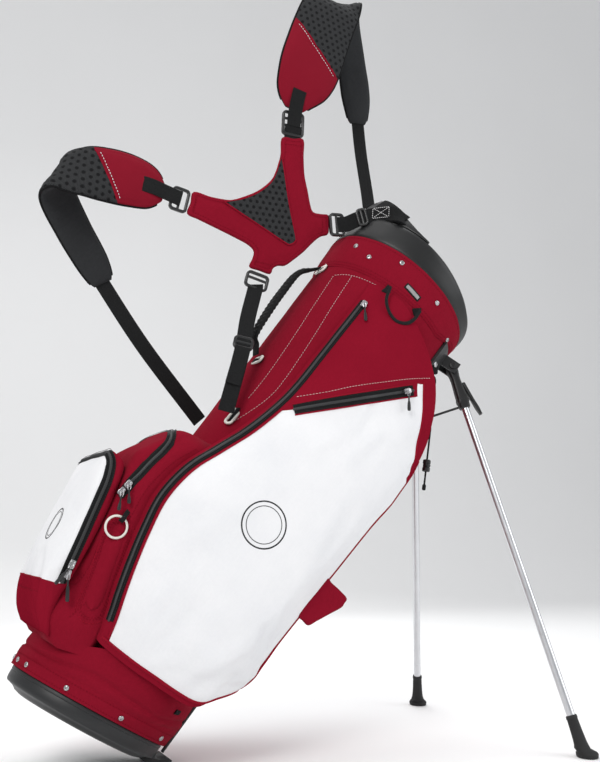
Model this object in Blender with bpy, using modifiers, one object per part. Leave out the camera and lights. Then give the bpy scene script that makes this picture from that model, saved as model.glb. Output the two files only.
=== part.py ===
"""Golf stand bag leaning on two folding legs, with pockets, lift handle and shoulder harness.

Metres, +Z up.  The ground is Z = 0, +X is the side the bag leans towards, -Y is the near side.
Most of the bag is modelled in a frame that lies along the tube: its local X points at the belly
(leg) side, -X is the spine, its local Z runs up the tube, and its origin is the centre of the
base ring.  The base and the collar have frames of their own; the harness and the feet are in
world axes.
"""
import math
from collections import namedtuple

import bpy
import bmesh
from mathutils import Matrix, Vector

# ---------------------------------------------------------------- driving dimensions
TUBE_TILT = math.radians(38.0)      # tube axis from the vertical
BASE_TILT = math.radians(30.0)      # base ring axis from the vertical
COLLAR_TILT = math.radians(41.0)    # collar axis from the vertical
BASE_A, BASE_B = 0.120, 0.108       # base ring half axes along X and Y
GROUND_GAP = 0.008                  # lowest edge of the base ring above the ground
TUBE_A0, TUBE_A1 = 0.118, 0.1355    # tube half axis along X at the base and at the collar
TUBE_B0, TUBE_B1 = 0.107, 0.1285    # tube half axis along Y at the base and at the collar
TUBE_LEN = 0.84                     # base ring to the top edge of the upper cuff
SKIN = 0.003                        # tube wall
ROUND_STEPS = 40                    # facets round the tube, cuffs, cup and collar
SIDES = (("near", -1), ("far", 1))  # name and sign of Y

# ---------------------------------------------------------------- clean start
for old in list(bpy.data.objects):
    bpy.data.objects.remove(old, do_unlink=True)

PARTS = bpy.data.collections.new("golf_stand_bag")
CUTTERS = bpy.data.collections.new("cutters")
bpy.context.scene.collection.children.link(PARTS)
bpy.context.scene.collection.children.link(CUTTERS)

# ---------------------------------------------------------------- finishes
Finish = namedtuple("Finish", "colour roughness metallic", defaults=(0.0,))

BLACK = (0.016, 0.017, 0.018)
GREY = (0.045, 0.047, 0.050)
WHITE = (0.83, 0.83, 0.84)
RED_FABRIC = Finish((0.30, 0.010, 0.028), roughness=0.75)
WHITE_FABRIC = Finish(WHITE, roughness=0.8)
WHITE_PLASTIC = Finish(WHITE, roughness=0.45)
BLACK_PLASTIC = Finish(BLACK, roughness=0.5)
BLACK_SMOOTH = Finish(BLACK, roughness=0.4)
BLACK_MATT = Finish(BLACK, roughness=0.6)
BLACK_SOFT = Finish(BLACK, roughness=0.7)
BLACK_WEBBING = Finish(BLACK, roughness=0.8)
GREY_FITTING = Finish(GREY, roughness=0.45)
STEEL = Finish((0.62, 0.63, 0.65), roughness=0.35, metallic=1.0)
STEEL_BRIGHT = STEEL._replace(roughness=0.3)
ALUMINIUM = Finish((0.72, 0.73, 0.75), roughness=0.3, metallic=1.0)
PALE_RING = Finish((0.80, 0.78, 0.70), roughness=0.4)


def material(name, finish):
    mat = bpy.data.materials.new(name)
    mat.use_nodes = True
    shader = mat.node_tree.nodes["Principled BSDF"]
    shader.inputs["Base Color"].default_value = (*finish.colour, 1.0)
    shader.inputs["Roughness"].default_value = finish.roughness
    shader.inputs["Metallic"].default_value = finish.metallic
    mat.diffuse_color = (*finish.colour, 1.0)
    return mat


# ---------------------------------------------------------------- frames
def frame(name, parent, location, tilt=0.0):
    """An empty tilted about Y that pieces are parented to."""
    marker = bpy.data.objects.new(name, None)
    marker.empty_display_size = 0.05
    PARTS.objects.link(marker)
    marker.parent = parent
    marker.location = location
    marker.rotation_euler = (0.0, tilt, 0.0)
    return marker


ORIGIN = Vector((-BASE_A * math.cos(BASE_TILT), 0.0, BASE_A * math.sin(BASE_TILT) + GROUND_GAP))
BAG = frame("frame_bag", None, ORIGIN, TUBE_TILT)
BASE = frame("frame_base", None, ORIGIN, BASE_TILT)
COLLAR = frame("frame_collar", BAG, (0.0, 0.0, TUBE_LEN), COLLAR_TILT - TUBE_TILT)
WORLD = frame("frame_world", None, (0.0, 0.0, 0.0))

BAG_TO_WORLD = Matrix.Translation(ORIGIN) @ Matrix.Rotation(TUBE_TILT, 4, "Y")
WORLD_TO_BASE = (Matrix.Translation(ORIGIN) @ Matrix.Rotation(BASE_TILT, 4, "Y")).inverted()


# ---------------------------------------------------------------- geometry helpers
def lerp_table(table, x):
    """Straight-line lookup in (x, y) rows, held constant past both ends."""
    if x <= table[0][0]:
        return table[0][1]
    for (x0, y0), (x1, y1) in zip(table, table[1:]):
        if x <= x1:
            return y0 + (y1 - y0) * (x - x0) / (x1 - x0)
    return table[-1][1]


def tube_a(z):
    return TUBE_A0 + (TUBE_A1 - TUBE_A0) * z / TUBE_LEN


def tube_b(z):
    return TUBE_B0 + (TUBE_B1 - TUBE_B0) * z / TUBE_LEN


def tube_point(z, angle, offset):
    """A point off the nominal tube surface; angle 0 is the belly, pi the spine."""
    return Vector(((tube_a(z) + offset) * math.cos(angle), (tube_b(z) + offset) * math.sin(angle), z))


def mirror(point):
    return Vector((point[0], -point[1], point[2]))


def square_to(vector, unit):
    """The unit direction of the vector's part at right angles to a unit direction."""
    v = Vector(vector)
    return (v - unit * v.dot(unit)).normalized()


def basis(direction, hint=(0, 1, 0)):
    """Three unit directions; the third is the given one, the first lies near the hint."""
    z = Vector(direction).normalized()
    if abs(z.dot(Vector(hint).normalized())) > 0.98:
        hint = (1, 0, 0)
    x = square_to(hint, z)
    return x, z.cross(x).normalized(), z


def ellipse(centre, x_dir, y_dir, x_radius, y_radius, count):
    angles = [2 * math.pi * i / count for i in range(count)]
    return [Vector(centre) + Vector(x_dir) * x_radius * math.cos(a)
            + Vector(y_dir) * y_radius * math.sin(a) for a in angles]


def chamfered(u, v):
    """A square from -1 to 1 with cut corners; its flats end at u across and v up."""
    return [(-1, -v), (-u, -1), (u, -1), (1, -v), (1, v), (u, 1), (-u, 1), (-1, v)]


# ---------------------------------------------------------------- piece builders
def put(name, data, parent, finish, origin=(0, 0, 0)):
    """Add a piece with its own material; with no finish it is a hidden cutter."""
    piece = bpy.data.objects.new(name, data)
    piece.parent = parent
    piece.location = origin
    if finish is None:
        CUTTERS.objects.link(piece)
        piece.hide_render = True
        piece.display_type = "WIRE"
    else:
        PARTS.objects.link(piece)
        data.materials.append(material("mat_" + name, finish))
    return piece


def put_bmesh(name, bm, parent, finish, origin=(0, 0, 0), smooth=None):
    """Add a bmesh with outward normals; smooth is the sharp-edge angle in degrees."""
    bm.normal_update()
    bmesh.ops.recalc_face_normals(bm, faces=bm.faces[:])
    if bm.calc_volume(signed=True) < 0:
        bmesh.ops.reverse_faces(bm, faces=bm.faces[:])
    bmesh.ops.translate(bm, vec=-Vector(origin), verts=bm.verts[:])
    mesh = bpy.data.meshes.new(name)
    bm.to_mesh(mesh)
    bm.free()
    if smooth:
        mesh.shade_smooth()
        mesh.set_sharp_from_angle(angle=math.radians(smooth))
    return put(name, mesh, parent, finish, origin)


def box(name, parent, finish, centre, size, axes=((1, 0, 0), (0, 1, 0), (0, 0, 1)),
        origin=None, round_edge=0.0):
    """A box of the given size; axes are its three unit directions in the frame."""
    bm = bmesh.new()
    bmesh.ops.create_cube(bm, size=1.0)
    edges = [Vector(axis) * length for axis, length in zip(axes, size)]
    for vert in bm.verts:
        x, y, z = vert.co
        vert.co = Vector(centre) + edges[0] * x + edges[1] * y + edges[2] * z
    piece = put_bmesh(name, bm, parent, finish, centre if origin is None else origin)
    if round_edge:
        bevel = piece.modifiers.new("bevel", "BEVEL")
        bevel.width = round_edge
        bevel.segments = 1
        bevel.limit_method = "ANGLE"
        bevel.angle_limit = math.radians(40)
    return piece


def bar(name, parent, finish, start, end, radius, segments=12, origin=None):
    """A round bar between two points."""
    start, end = Vector(start), Vector(end)
    bm = bmesh.new()
    bmesh.ops.create_cone(bm, cap_ends=True, segments=segments, radius1=radius, radius2=radius,
                          depth=(end - start).length)
    turn = Matrix(basis(end - start)).transposed().to_4x4()
    bmesh.ops.transform(bm, matrix=Matrix.Translation((start + end) / 2) @ turn, verts=bm.verts[:])
    return put_bmesh(name, bm, parent, finish, start if origin is None else origin, smooth=40)


def loft(name, parent, finish, sections, origin=(0, 0, 0), smooth=None, closed=False):
    """A skin through rings of equal point count, with flat ends or closed on itself."""
    bm = bmesh.new()
    rings = [[bm.verts.new(Vector(point)) for point in section] for section in sections]
    count = len(rings[0])
    pairs = list(zip(rings, rings[1:]))
    if closed:
        pairs.append((rings[-1], rings[0]))
    for low, high in pairs:
        for i in range(count):
            j = (i + 1) % count
            bm.faces.new((low[i], low[j], high[j], high[i]))
    if not closed:
        bm.faces.new(rings[0])
        bm.faces.new(list(reversed(rings[-1])))
    bmesh.ops.triangulate(bm, faces=[face for face in bm.faces if len(face.verts) > 4])
    return put_bmesh(name, bm, parent, finish, origin, smooth)


def slab(name, parent, finish, outline, y_low, y_high, chamfer=0.0, shrink=1.0, origin=(0, 0, 0)):
    """An X-Z outline extruded along Y; chamfered ends shrink towards the mean of its points."""
    mean_x = sum(x for x, z in outline) / len(outline)
    mean_z = sum(z for x, z in outline) / len(outline)

    def ring(y, k):
        return [(mean_x + (x - mean_x) * k, y, mean_z + (z - mean_z) * k) for x, z in outline]

    sections = [ring(y_low, shrink), ring(y_high, shrink)]
    if chamfer:
        sections[1:1] = [ring(y_low + chamfer, 1.0), ring(y_high - chamfer, 1.0)]
    return loft(name, parent, finish, sections, origin)


def strap(name, parent, finish, stations):
    """A flat band: each station is (centre, width direction, width, thickness)."""
    centres = [Vector(station[0]) for station in stations]
    sections = []
    for i, (_, width_dir, width, thickness) in enumerate(stations):
        run = (centres[min(i + 1, len(centres) - 1)] - centres[max(i - 1, 0)]).normalized()
        across = square_to(width_dir, run)
        normal = run.cross(across).normalized()
        sections.append([centres[i] + across * u * width / 2 + normal * v * thickness / 2
                         for u, v in chamfered(0.86, 0.55)])
    return loft(name, parent, finish, sections, stations[0][0], smooth=30)


def turned(name, parent, finish, profile, scale_y, loop=False):
    """An X-Z profile turned about Z, then squeezed along Y to an ellipse."""
    count = len(profile)
    edges = [(i, i + 1) for i in range(count - 1)]
    if loop:
        edges.append((count - 1, 0))
    mesh = bpy.data.meshes.new(name)
    mesh.from_pydata([(x, 0.0, z) for x, z in profile], edges, [])
    piece = put(name, mesh, parent, finish)
    piece.scale = (1.0, scale_y, 1.0)
    screw = piece.modifiers.new("turn", "SCREW")
    screw.angle = 2 * math.pi
    screw.steps = ROUND_STEPS
    screw.render_steps = ROUND_STEPS
    screw.use_merge_vertices = True
    screw.merge_threshold = 0.00001
    screw.use_smooth_shade = True
    return piece


def wire(name, parent, finish, points, radius, origin, cyclic=False):
    """A round wire or cord along straight runs."""
    curve = bpy.data.curves.new(name, "CURVE")
    curve.dimensions = "3D"
    curve.bevel_depth = radius
    curve.bevel_resolution = 2
    curve.use_fill_caps = not cyclic
    curve.render_resolution_u = 0
    spline = curve.splines.new("POLY")
    spline.points.add(len(points) - 1)
    for knot, point in zip(spline.points, points):
        knot.co = (*(Vector(point) - Vector(origin)), 1.0)
    spline.use_cyclic_u = cyclic
    piece = put(name, curve, parent, finish, origin)
    weld = piece.modifiers.new("weld", "WELD")
    weld.merge_threshold = 0.00001
    return piece


def boolean(piece, other, operation="DIFFERENCE"):
    modifier = piece.modifiers.new(operation.lower(), "BOOLEAN")
    modifier.operation = operation
    modifier.object = other
    modifier.solver = "EXACT"


# ---------------------------------------------------------------- base cup and pedal
HINGE = Vector((0.036, 0.0, -0.0047))   # pedal hinge in the base frame
HINGE_BORE = 0.0022
BARREL_R = 0.0042                       # pedal knuckle round the hinge
PEDAL_HALF = 0.0262
# (x, z) from the inner floor over the rim groove to the underside
CUP_PROFILE = [
    (0.0, 0.0045), (BASE_A - 0.0085, 0.0045), (BASE_A - 0.0070, 0.0320), (BASE_A - 0.0035, 0.0320),
    (BASE_A - 0.0035, 0.0195), (BASE_A, 0.0195), (BASE_A - 0.0015, 0.0), (0.1100, -0.0022),
    (0.1020, -0.0080), (0.0, -0.0100)]
# (x, z) in world axes: the end of the pedal that rests on the ground
SOLE_WORLD = [(-0.010, 0.0), (0.0200, 0.0), (0.0235, 0.0040), (0.0190, 0.0076), (0.0060, 0.0066)]


def hinge_bar(name, finish, half_length, radius):
    reach = Vector((0, half_length, 0))
    return bar(name, BASE, finish, HINGE - reach, HINGE + reach, radius)


cup = turned("base_cup", BASE, Finish(GREY, roughness=0.55), CUP_PROFILE, BASE_B / BASE_A)
boolean(cup, box("cut_recess", BASE, None, (0.0790, 0, -0.0100), (0.1000, 0.0540, 0.0206)))
boolean(cup, hinge_bar("cut_pedal_pin", None, 0.045, HINGE_BORE))
hinge_bar("pedal_pin", STEEL, 0.0345, 0.0018)

barrel = [(HINGE.x + BARREL_R * math.cos(a), HINGE.z + BARREL_R * math.sin(a))
          for a in map(math.radians, (70, 115, 160, 205, 250))]
sole = [WORLD_TO_BASE @ Vector((x, 0.0, z)) for x, z in SOLE_WORLD]
pedal_outline = (barrel + [(0.098, -0.0066)] + [(point.x, point.z) for point in sole]
                 + [(0.1150, -0.0012), (0.105, -0.0010)])
pedal = slab("base_pedal", BASE, BLACK_MATT, pedal_outline, -PEDAL_HALF, PEDAL_HALF, origin=HINGE)
boolean(pedal, hinge_bar("cut_pedal_bore", None, 0.035, HINGE_BORE))

# ---------------------------------------------------------------- cuffs and tube
# (x, z) wall sections, squeezed along Y by the ratio
LOWER_CUFF = [(0.1185, 0.0200), (0.1190, 0.0450), (0.1240, 0.0450), (0.1245, 0.0200)]
LOWER_CUFF_RATIO = 0.905
UPPER_CUFF = [(0.1352, -0.0340), (0.1352, -0.0004), (0.1387, -0.0004), (0.1387, -0.0340)]
UPPER_CUFF_RATIO = 0.941
TUBE_LEVELS = (0.066, 0.30, 0.56, 0.829)    # bottom edge, two rings between, top edge

turned("lower_cuff", BASE, RED_FABRIC, LOWER_CUFF, LOWER_CUFF_RATIO, loop=True)
turned("upper_cuff", COLLAR, RED_FABRIC, UPPER_CUFF, UPPER_CUFF_RATIO, loop=True)


def tube_ring(z, offset):
    return [tube_point(z, 2 * math.pi * i / ROUND_STEPS, offset) for i in range(ROUND_STEPS)]


# up the outside, down the inside
loft("body_tube", BAG, RED_FABRIC,
     [tube_ring(z, -SKIN) for z in TUBE_LEVELS]
     + [tube_ring(z, -2 * SKIN) for z in reversed(TUBE_LEVELS)], closed=True, smooth=40)

# ---------------------------------------------------------------- top collar
SLEEVE = (0.1264, 0.1206)   # half axes of the sleeve that plugs into the tube
BAND = (0.1385, 0.1305)     # half axes of the band outside
# (degrees from the belly, band height above the cuff edge)
BAND_HEIGHT = [(0, 0.021), (50, 0.025), (90, 0.0385), (120, 0.0455), (180, 0.0465)]


def from_belly(degrees):
    """Fold an angle round the collar to 0 at the belly, 180 at the spine."""
    return abs((degrees + 180.0) % 360.0 - 180.0)


def collar_section(degrees):
    height = lerp_table(BAND_HEIGHT, from_belly(degrees))
    angle = math.radians(degrees)
    # (half axes, offset from them, z)
    profile = [
        (SLEEVE, -0.0045, -0.026), (SLEEVE, 0, -0.026), (SLEEVE, 0, -0.0012), (BAND, 0, 0.0008),
        (BAND, 0.0025, height - 0.006), (BAND, -0.001, height),
        (SLEEVE, -0.0005, height - 0.0015), (SLEEVE, -0.0045, height - 0.008)]
    return [((a + offset) * math.cos(angle), (b + offset) * math.sin(angle), z)
            for (a, b), offset, z in profile]


loft("top_collar", COLLAR, Finish(BLACK, roughness=0.42),
     [collar_section(360.0 * i / ROUND_STEPS) for i in range(ROUND_STEPS)],
     closed=True, smooth=50)

# ---------------------------------------------------------------- lift handle
# A broad arch over the spine side of the collar, open under its middle.
HANDLE_START = 108          # degrees from the belly
HANDLE_STEPS = 18
HANDLE_GAP = 0.0006         # above the collar band
HANDLE_HALF = 0.0052        # half thickness
HANDLE_INSET = 0.0050       # centre of the thickness inside the band
HANDLE_LEAN = 0.10          # inward lean per unit of rise
# (degrees from the belly, z of the top edge)
HANDLE_TOP = [(108, 0.0475), (120, 0.0540), (130, 0.0640), (140, 0.0760),
              (150, 0.0870), (160, 0.0970), (170, 0.1030), (180, 0.1050)]
# (degrees from the belly, height of the opening over the band)
HANDLE_OPENING = [(138, 0.0), (150, 0.0110), (160, 0.0190), (180, 0.0250)]


def handle_section(degrees):
    folded = from_belly(degrees)
    angle = math.radians(degrees)
    low = lerp_table(BAND_HEIGHT, folded) + HANDLE_GAP + lerp_table(HANDLE_OPENING, folded)
    high = lerp_table(HANDLE_TOP, folded)
    lean = HANDLE_LEAN * (high - HANDLE_TOP[0][1])
    ring = []
    for u, v in chamfered(0.5, 0.64):
        rise = (v + 1) / 2
        offset = u * HANDLE_HALF - HANDLE_INSET - lean * (rise if rise > 0.5 else 0.3)
        ring.append(((BAND[0] + offset) * math.cos(angle), (BAND[1] + offset) * math.sin(angle),
                     low + (high - low) * rise))
    return ring


handle_sweep = 360.0 - 2 * HANDLE_START
loft("lift_handle", COLLAR, BLACK_PLASTIC,
     [handle_section(HANDLE_START + handle_sweep * i / HANDLE_STEPS)
      for i in range(HANDLE_STEPS + 1)], smooth=50)

# ---------------------------------------------------------------- club divider
DIVIDER_Z = 0.002
DIVIDER_T = 0.0055          # wall thickness
CROSS_WALLS = (-0.046, 0.046)
CROSS_INSET = 0.005         # ellipse the cross walls end near, inside the sleeve
CROSS_CLEARANCE = 0.0015

divider = box("club_divider", COLLAR, BLACK_PLASTIC, (0, 0, DIVIDER_Z), (0.2424, DIVIDER_T, 0.020))
for k, x in enumerate(CROSS_WALLS):
    half = ((SLEEVE[1] - CROSS_INSET) * math.sqrt(1 - (x / (SLEEVE[0] - CROSS_INSET)) ** 2)
            - CROSS_CLEARANCE)
    wall = box(f"cut_wall_{k}", COLLAR, None, (x, 0, DIVIDER_Z), (DIVIDER_T, 2 * half, 0.0196))
    boolean(divider, wall, "UNION")
box("divider_sheet", BAG, Finish(GREY, roughness=0.8), (0, 0, 0.4505), (0.190, 0.0012, 0.700))

# ---------------------------------------------------------------- stays inside the tube
STAY_LOW, STAY_MID, STAY_HIGH = 0.070, 0.44, 0.800
STAY_ROD_ANGLE = math.radians(52)


def inside_tube(z, angle, clearance):
    return tube_point(z, angle, -2 * SKIN - clearance)


strap("spine_stay", BAG, BLACK_PLASTIC,
      [(inside_tube(z, math.pi, 0.0040), (0, 1, 0), 0.030, 0.003)
       for z in (STAY_LOW, STAY_MID, STAY_HIGH)])
for side, sign in SIDES:
    bar("stay_rod_" + side, BAG, Finish(GREY, roughness=0.5),
        inside_tube(STAY_LOW, sign * STAY_ROD_ANGLE, 0.006),
        inside_tube(STAY_HIGH, sign * STAY_ROD_ANGLE, 0.0072), 0.0035, segments=10)

# ---------------------------------------------------------------- legs
PIVOT = Vector((0.140, -0.060, 0.785))          # near leg pivot in the bag frame
FOOT = Vector((0.590, -0.237, 0.0))             # near foot on the ground, world axes
FOLD_END = Vector((0.1590, -0.036, 0.152))      # near foot when folded, in the bag frame
HEAD = Vector((0.1455, 0.0, 0.668))             # crosshead on the actuator rod
LEG_R = 0.00635
LEG_START = 0.0305          # tube start below the pivot
LEG_SHORT = 0.022           # tube end short of the ground point
SOCKET_R = LEG_R + 0.0003
PIVOT_BORE = 0.0035

SADDLE_HALF_ANGLE = 46      # degrees either side of the belly
SADDLE_STEPS = 12
SADDLE_LOW, SADDLE_HIGH = 0.745, 0.7965
SADDLE_IN = -SKIN + 0.0004  # offsets from the nominal tube
SADDLE_OUT = 0.0022

EAR_SIZE = (0.0034, 0.0290, 0.0200)
EAR_OFFSET = 0.0112         # ear middle from the yoke middle, along the pin
EAR_SETBACK = 0.0050        # ear middle from the pin towards the tube

YOKE_HALF = 0.0088          # half width along the pin
# (distance below the pivot, half depth)
YOKE_STATIONS = [(-0.0085, 0.0065), (-0.004, 0.0088), (0.008, 0.0088),
                 (0.024, 0.0078), (0.056, 0.0092), (0.074, 0.0088)]

SOLE_SHIFT = 0.002          # sole centre moved outward from the ground point in X and Y
SOLE_RADII = (0.0185, 0.0150)
SOLE_T = 0.0050

LINK_DOWN = 0.066           # link joint below the pivot along the leg
LINK_SIDE = 0.0117          # link joint from the leg axis
LINK_SPREAD = 0.0165        # link aiming point beside the crosshead centre
LINK_SHORT = 0.004          # link end short of that point

Leg = namedtuple("Leg", "side sign pivot axis along across")

near_along = (BAG_TO_WORLD.inverted() @ FOOT - PIVOT).normalized()
near_axis = near_along.cross((FOLD_END - PIVOT).normalized()).normalized()
LEG_LEN = (BAG_TO_WORLD.inverted() @ FOOT - PIVOT).length
far_along = mirror(near_along)
far_axis = Vector((-near_axis.x, near_axis.y, -near_axis.z))
LEGS = (Leg("near", -1, PIVOT, near_axis, near_along, near_axis.cross(near_along).normalized()),
        Leg("far", 1, mirror(PIVOT), far_axis, far_along, far_axis.cross(far_along).normalized()))


def saddle_section(angle):
    return [tube_point(z, angle, offset) for offset, z in
            ((SADDLE_IN, SADDLE_LOW), (SADDLE_OUT, SADDLE_LOW),
             (SADDLE_OUT, SADDLE_HIGH), (SADDLE_IN, SADDLE_HIGH))]


def pin_bar(name, leg, finish, half_length, radius):
    """A bar centred on the pivot, along its axis."""
    reach = leg.axis * half_length
    return bar(name, BAG, finish, leg.pivot - reach, leg.pivot + reach, radius)


def add_ears(bracket, leg):
    """Two ears from the saddle to the pivot, either side of the yoke, and their bore."""
    inward = square_to((-1, 0, 0), leg.axis)
    axes = (leg.axis, inward, leg.axis.cross(inward).normalized())
    for k, end in enumerate((-1, 1)):
        centre = leg.pivot + leg.axis * end * EAR_OFFSET + inward * EAR_SETBACK
        ear = box(f"cut_ear_{leg.side}_{k}", BAG, None, centre, EAR_SIZE, axes)
        boolean(bracket, ear, "UNION")
    boolean(bracket, pin_bar("cut_pivot_" + leg.side, leg, None, 0.016, PIVOT_BORE))


def leg_yoke(leg):
    """Plastic socket that turns on the pin and grips the leg."""
    rings = [[leg.pivot + leg.along * down + leg.axis * u * YOKE_HALF + leg.across * v * half_depth
              for u, v in chamfered(0.6, 0.6)] for down, half_depth in YOKE_STATIONS]
    yoke = loft("leg_yoke_" + leg.side, BAG, BLACK_SMOOTH, rings, leg.pivot, smooth=35)
    boolean(yoke, pin_bar("cut_yoke_pin_" + leg.side, leg, None, 0.02, PIVOT_BORE))
    boolean(yoke, bar("cut_yoke_socket_" + leg.side, BAG, None, leg.pivot + leg.along * 0.030,
                      leg.pivot + leg.along * 0.080, SOCKET_R, segments=16))


def leg_foot(leg):
    """A boot round the tube end with a flat sole on the ground, in world axes."""
    ground = Vector((FOOT.x, -leg.sign * FOOT.y, 0.0))
    down = (BAG_TO_WORLD.to_3x3() @ leg.along).normalized()
    round_x, round_y, _ = basis(down)
    flat_x = Vector((round_x.x, round_x.y, 0)).normalized()
    flat_y = Vector((flat_x.y, -flat_x.x, 0))
    ankle = ground - down * 0.014
    ankle.z = 0.0125
    sole_centre = ground + Vector((SOLE_SHIFT, SOLE_SHIFT * leg.sign, 0))
    foot = loft("leg_foot_" + leg.side, WORLD, BLACK_SOFT, [
        ellipse(ground - down * 0.060, round_x, round_y, 0.0082, 0.0082, 12),
        ellipse(ground - down * 0.026, round_x, round_y, 0.0092, 0.0092, 12),
        ellipse(ankle, flat_x, flat_y, 0.0125, 0.0110, 12),
        ellipse(sole_centre + Vector((0, 0, SOLE_T)), flat_x, flat_y, *SOLE_RADII, 12),
        ellipse(sole_centre, flat_x, flat_y, *SOLE_RADII, 12)],
        origin=BAG_TO_WORLD @ leg.pivot, smooth=40)
    boolean(foot, bar("cut_foot_" + leg.side, WORLD, None, ground - down * 0.0215,
                      ground - down * 0.075, SOCKET_R, segments=16))


def leg_link(leg):
    """Wire from the inner side of the leg to the crosshead."""
    inner_sign = 1 if leg.axis.y * leg.sign < 0 else -1
    start = leg.pivot + leg.along * LINK_DOWN + leg.axis * inner_sign * LINK_SIDE
    goal = HEAD + Vector((0.0, leg.sign * LINK_SPREAD, 0.0))
    end = goal + (start - goal).normalized() * LINK_SHORT
    wire("leg_link_" + leg.side, BAG, BLACK_SMOOTH, [start, end], 0.0020, origin=start)


saddle_angles = [math.radians(SADDLE_HALF_ANGLE * (2 * i / SADDLE_STEPS - 1))
                 for i in range(SADDLE_STEPS + 1)]
leg_bracket = loft("leg_bracket", BAG, Finish(GREY, roughness=0.4),
                   [saddle_section(angle) for angle in saddle_angles], smooth=40)
for leg in LEGS:
    add_ears(leg_bracket, leg)
    pin_bar("pivot_pin_" + leg.side, leg, STEEL_BRIGHT, 0.0142, 0.0031)
    leg_yoke(leg)
    bar("leg_tube_" + leg.side, BAG, ALUMINIUM, leg.pivot + leg.along * LEG_START,
        leg.pivot + leg.along * (LEG_LEN - LEG_SHORT), LEG_R, segments=16, origin=leg.pivot)
    leg_foot(leg)
    leg_link(leg)

# ---------------------------------------------------------------- actuator rod
ROD_LOW = Vector((0.1290, 0.0, 0.0270))
ROD_R = 0.0025
GUIDE_Z = 0.225
rod_dir = (HEAD - ROD_LOW).normalized()

crosshead = box("rod_crosshead", BAG, GREY_FITTING, HEAD, (0.012, 0.0190, 0.016),
                round_edge=0.0015)
boolean(crosshead, bar("cut_head", BAG, None, HEAD - rod_dir * 0.03, HEAD, 0.0029))
bar("actuator_rod", BAG, STEEL, ROD_LOW + rod_dir * 0.0018, HEAD - rod_dir * 0.0006, ROD_R)

# guide block from the tube wall to just past the rod
guide_in = tube_a(GUIDE_Z) - SKIN + 0.0008
guide_out = lerp_table([(ROD_LOW.z, ROD_LOW.x), (HEAD.z, HEAD.x)], GUIDE_Z) + 0.006
guide = box("rod_guide", BAG, GREY_FITTING, ((guide_in + guide_out) / 2, 0, GUIDE_Z),
            (guide_out - guide_in, 0.018, 0.022), round_edge=0.0012)
boolean(guide, bar("cut_guide", BAG, None, ROD_LOW + rod_dir * 0.12, ROD_LOW + rod_dir * 0.26,
                   0.0032))

# ---------------------------------------------------------------- garment pockets
# (z, x) of the zip edge, on the spine side of the pocket
ZIP_EDGE = [(0.085, -0.079), (0.115, -0.084), (0.154, -0.100), (0.194, -0.112),
            (0.235, -0.125), (0.285, -0.134), (0.347, -0.127), (0.388, -0.113),
            (0.446, -0.092), (0.503, -0.075), (0.547, -0.067), (0.745, -0.067)]
# (degrees from the belly, bottom z, top z), from the zip edge to the belly edge
POCKET_STATIONS = [
    (124, 0.092, 0.742), (118, 0.088, 0.745), (106, 0.086, 0.745),
    (92, 0.087, 0.740), (66, 0.094, 0.700), (52, 0.118, 0.632),
    (43, 0.148, 0.596), (38, 0.156, 0.604), (34, 0.152, 0.612)]
STATION_BY_ANGLE = [(row[0], i) for i, row in reversed(list(enumerate(POCKET_STATIONS)))]
# height fractions of the rings up the pocket
POCKET_LEVELS = (0.0, 0.04, 0.20, 0.36, 0.52, 0.66, 0.80, 0.92, 1.0)
POCKET_COLUMNS = 12
# (height fraction, share of the full bulge) for the first five stations and for the rest
SPINE_TAPER = [(0.60, 1.0), (0.80, 0.62), (1.0, 0.16)]
BELLY_TAPER = [(0.85, 1.0), (1.0, 0.86)]


def pocket_outer(station, level, sign):
    """A point on the outside: the bulged outline, drawn in to the tube at the ends."""
    degrees, bottom, top = POCKET_STATIONS[station]
    z = bottom + (top - bottom) * level
    zip_x = lerp_table(ZIP_EDGE, z)
    belly_x = 0.137 + (z - 0.187) * 0.082
    # (x, y) of the full bulge, one point for each station
    bulge = Vector([
        (zip_x, 0.1085), (zip_x + 0.002, 0.127), (zip_x + 0.038, 0.143), (0.000, 0.150),
        (0.078, 0.149), (belly_x - 0.026, 0.140), (belly_x, 0.120), (belly_x - 0.006, 0.098),
        (belly_x - 0.020, 0.0785)][station])
    taper = SPINE_TAPER if station < 5 else BELLY_TAPER
    share = min(1.0, 0.80 + level * 4.0) * lerp_table(taper, level)
    seat = tube_point(z, math.radians(degrees), 0.0012).xy
    point = seat + (bulge - seat) * share
    return Vector((point.x, sign * point.y, z))


def pocket_points(degrees, level, sign):
    """The outer point, and the inner one that follows the tube a little way off."""
    position = lerp_table(STATION_BY_ANGLE, degrees)
    station = min(int(position), len(POCKET_STATIONS) - 2)
    part = position - station
    outer = pocket_outer(station, level, sign).lerp(pocket_outer(station + 1, level, sign), part)
    _, bottom, top = [a + (b - a) * part for a, b in
                      zip(POCKET_STATIONS[station], POCKET_STATIONS[station + 1])]
    inner = tube_point(bottom + (top - bottom) * level, math.radians(degrees), -SKIN + 0.0014)
    inner.y *= sign
    return outer, inner


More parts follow.
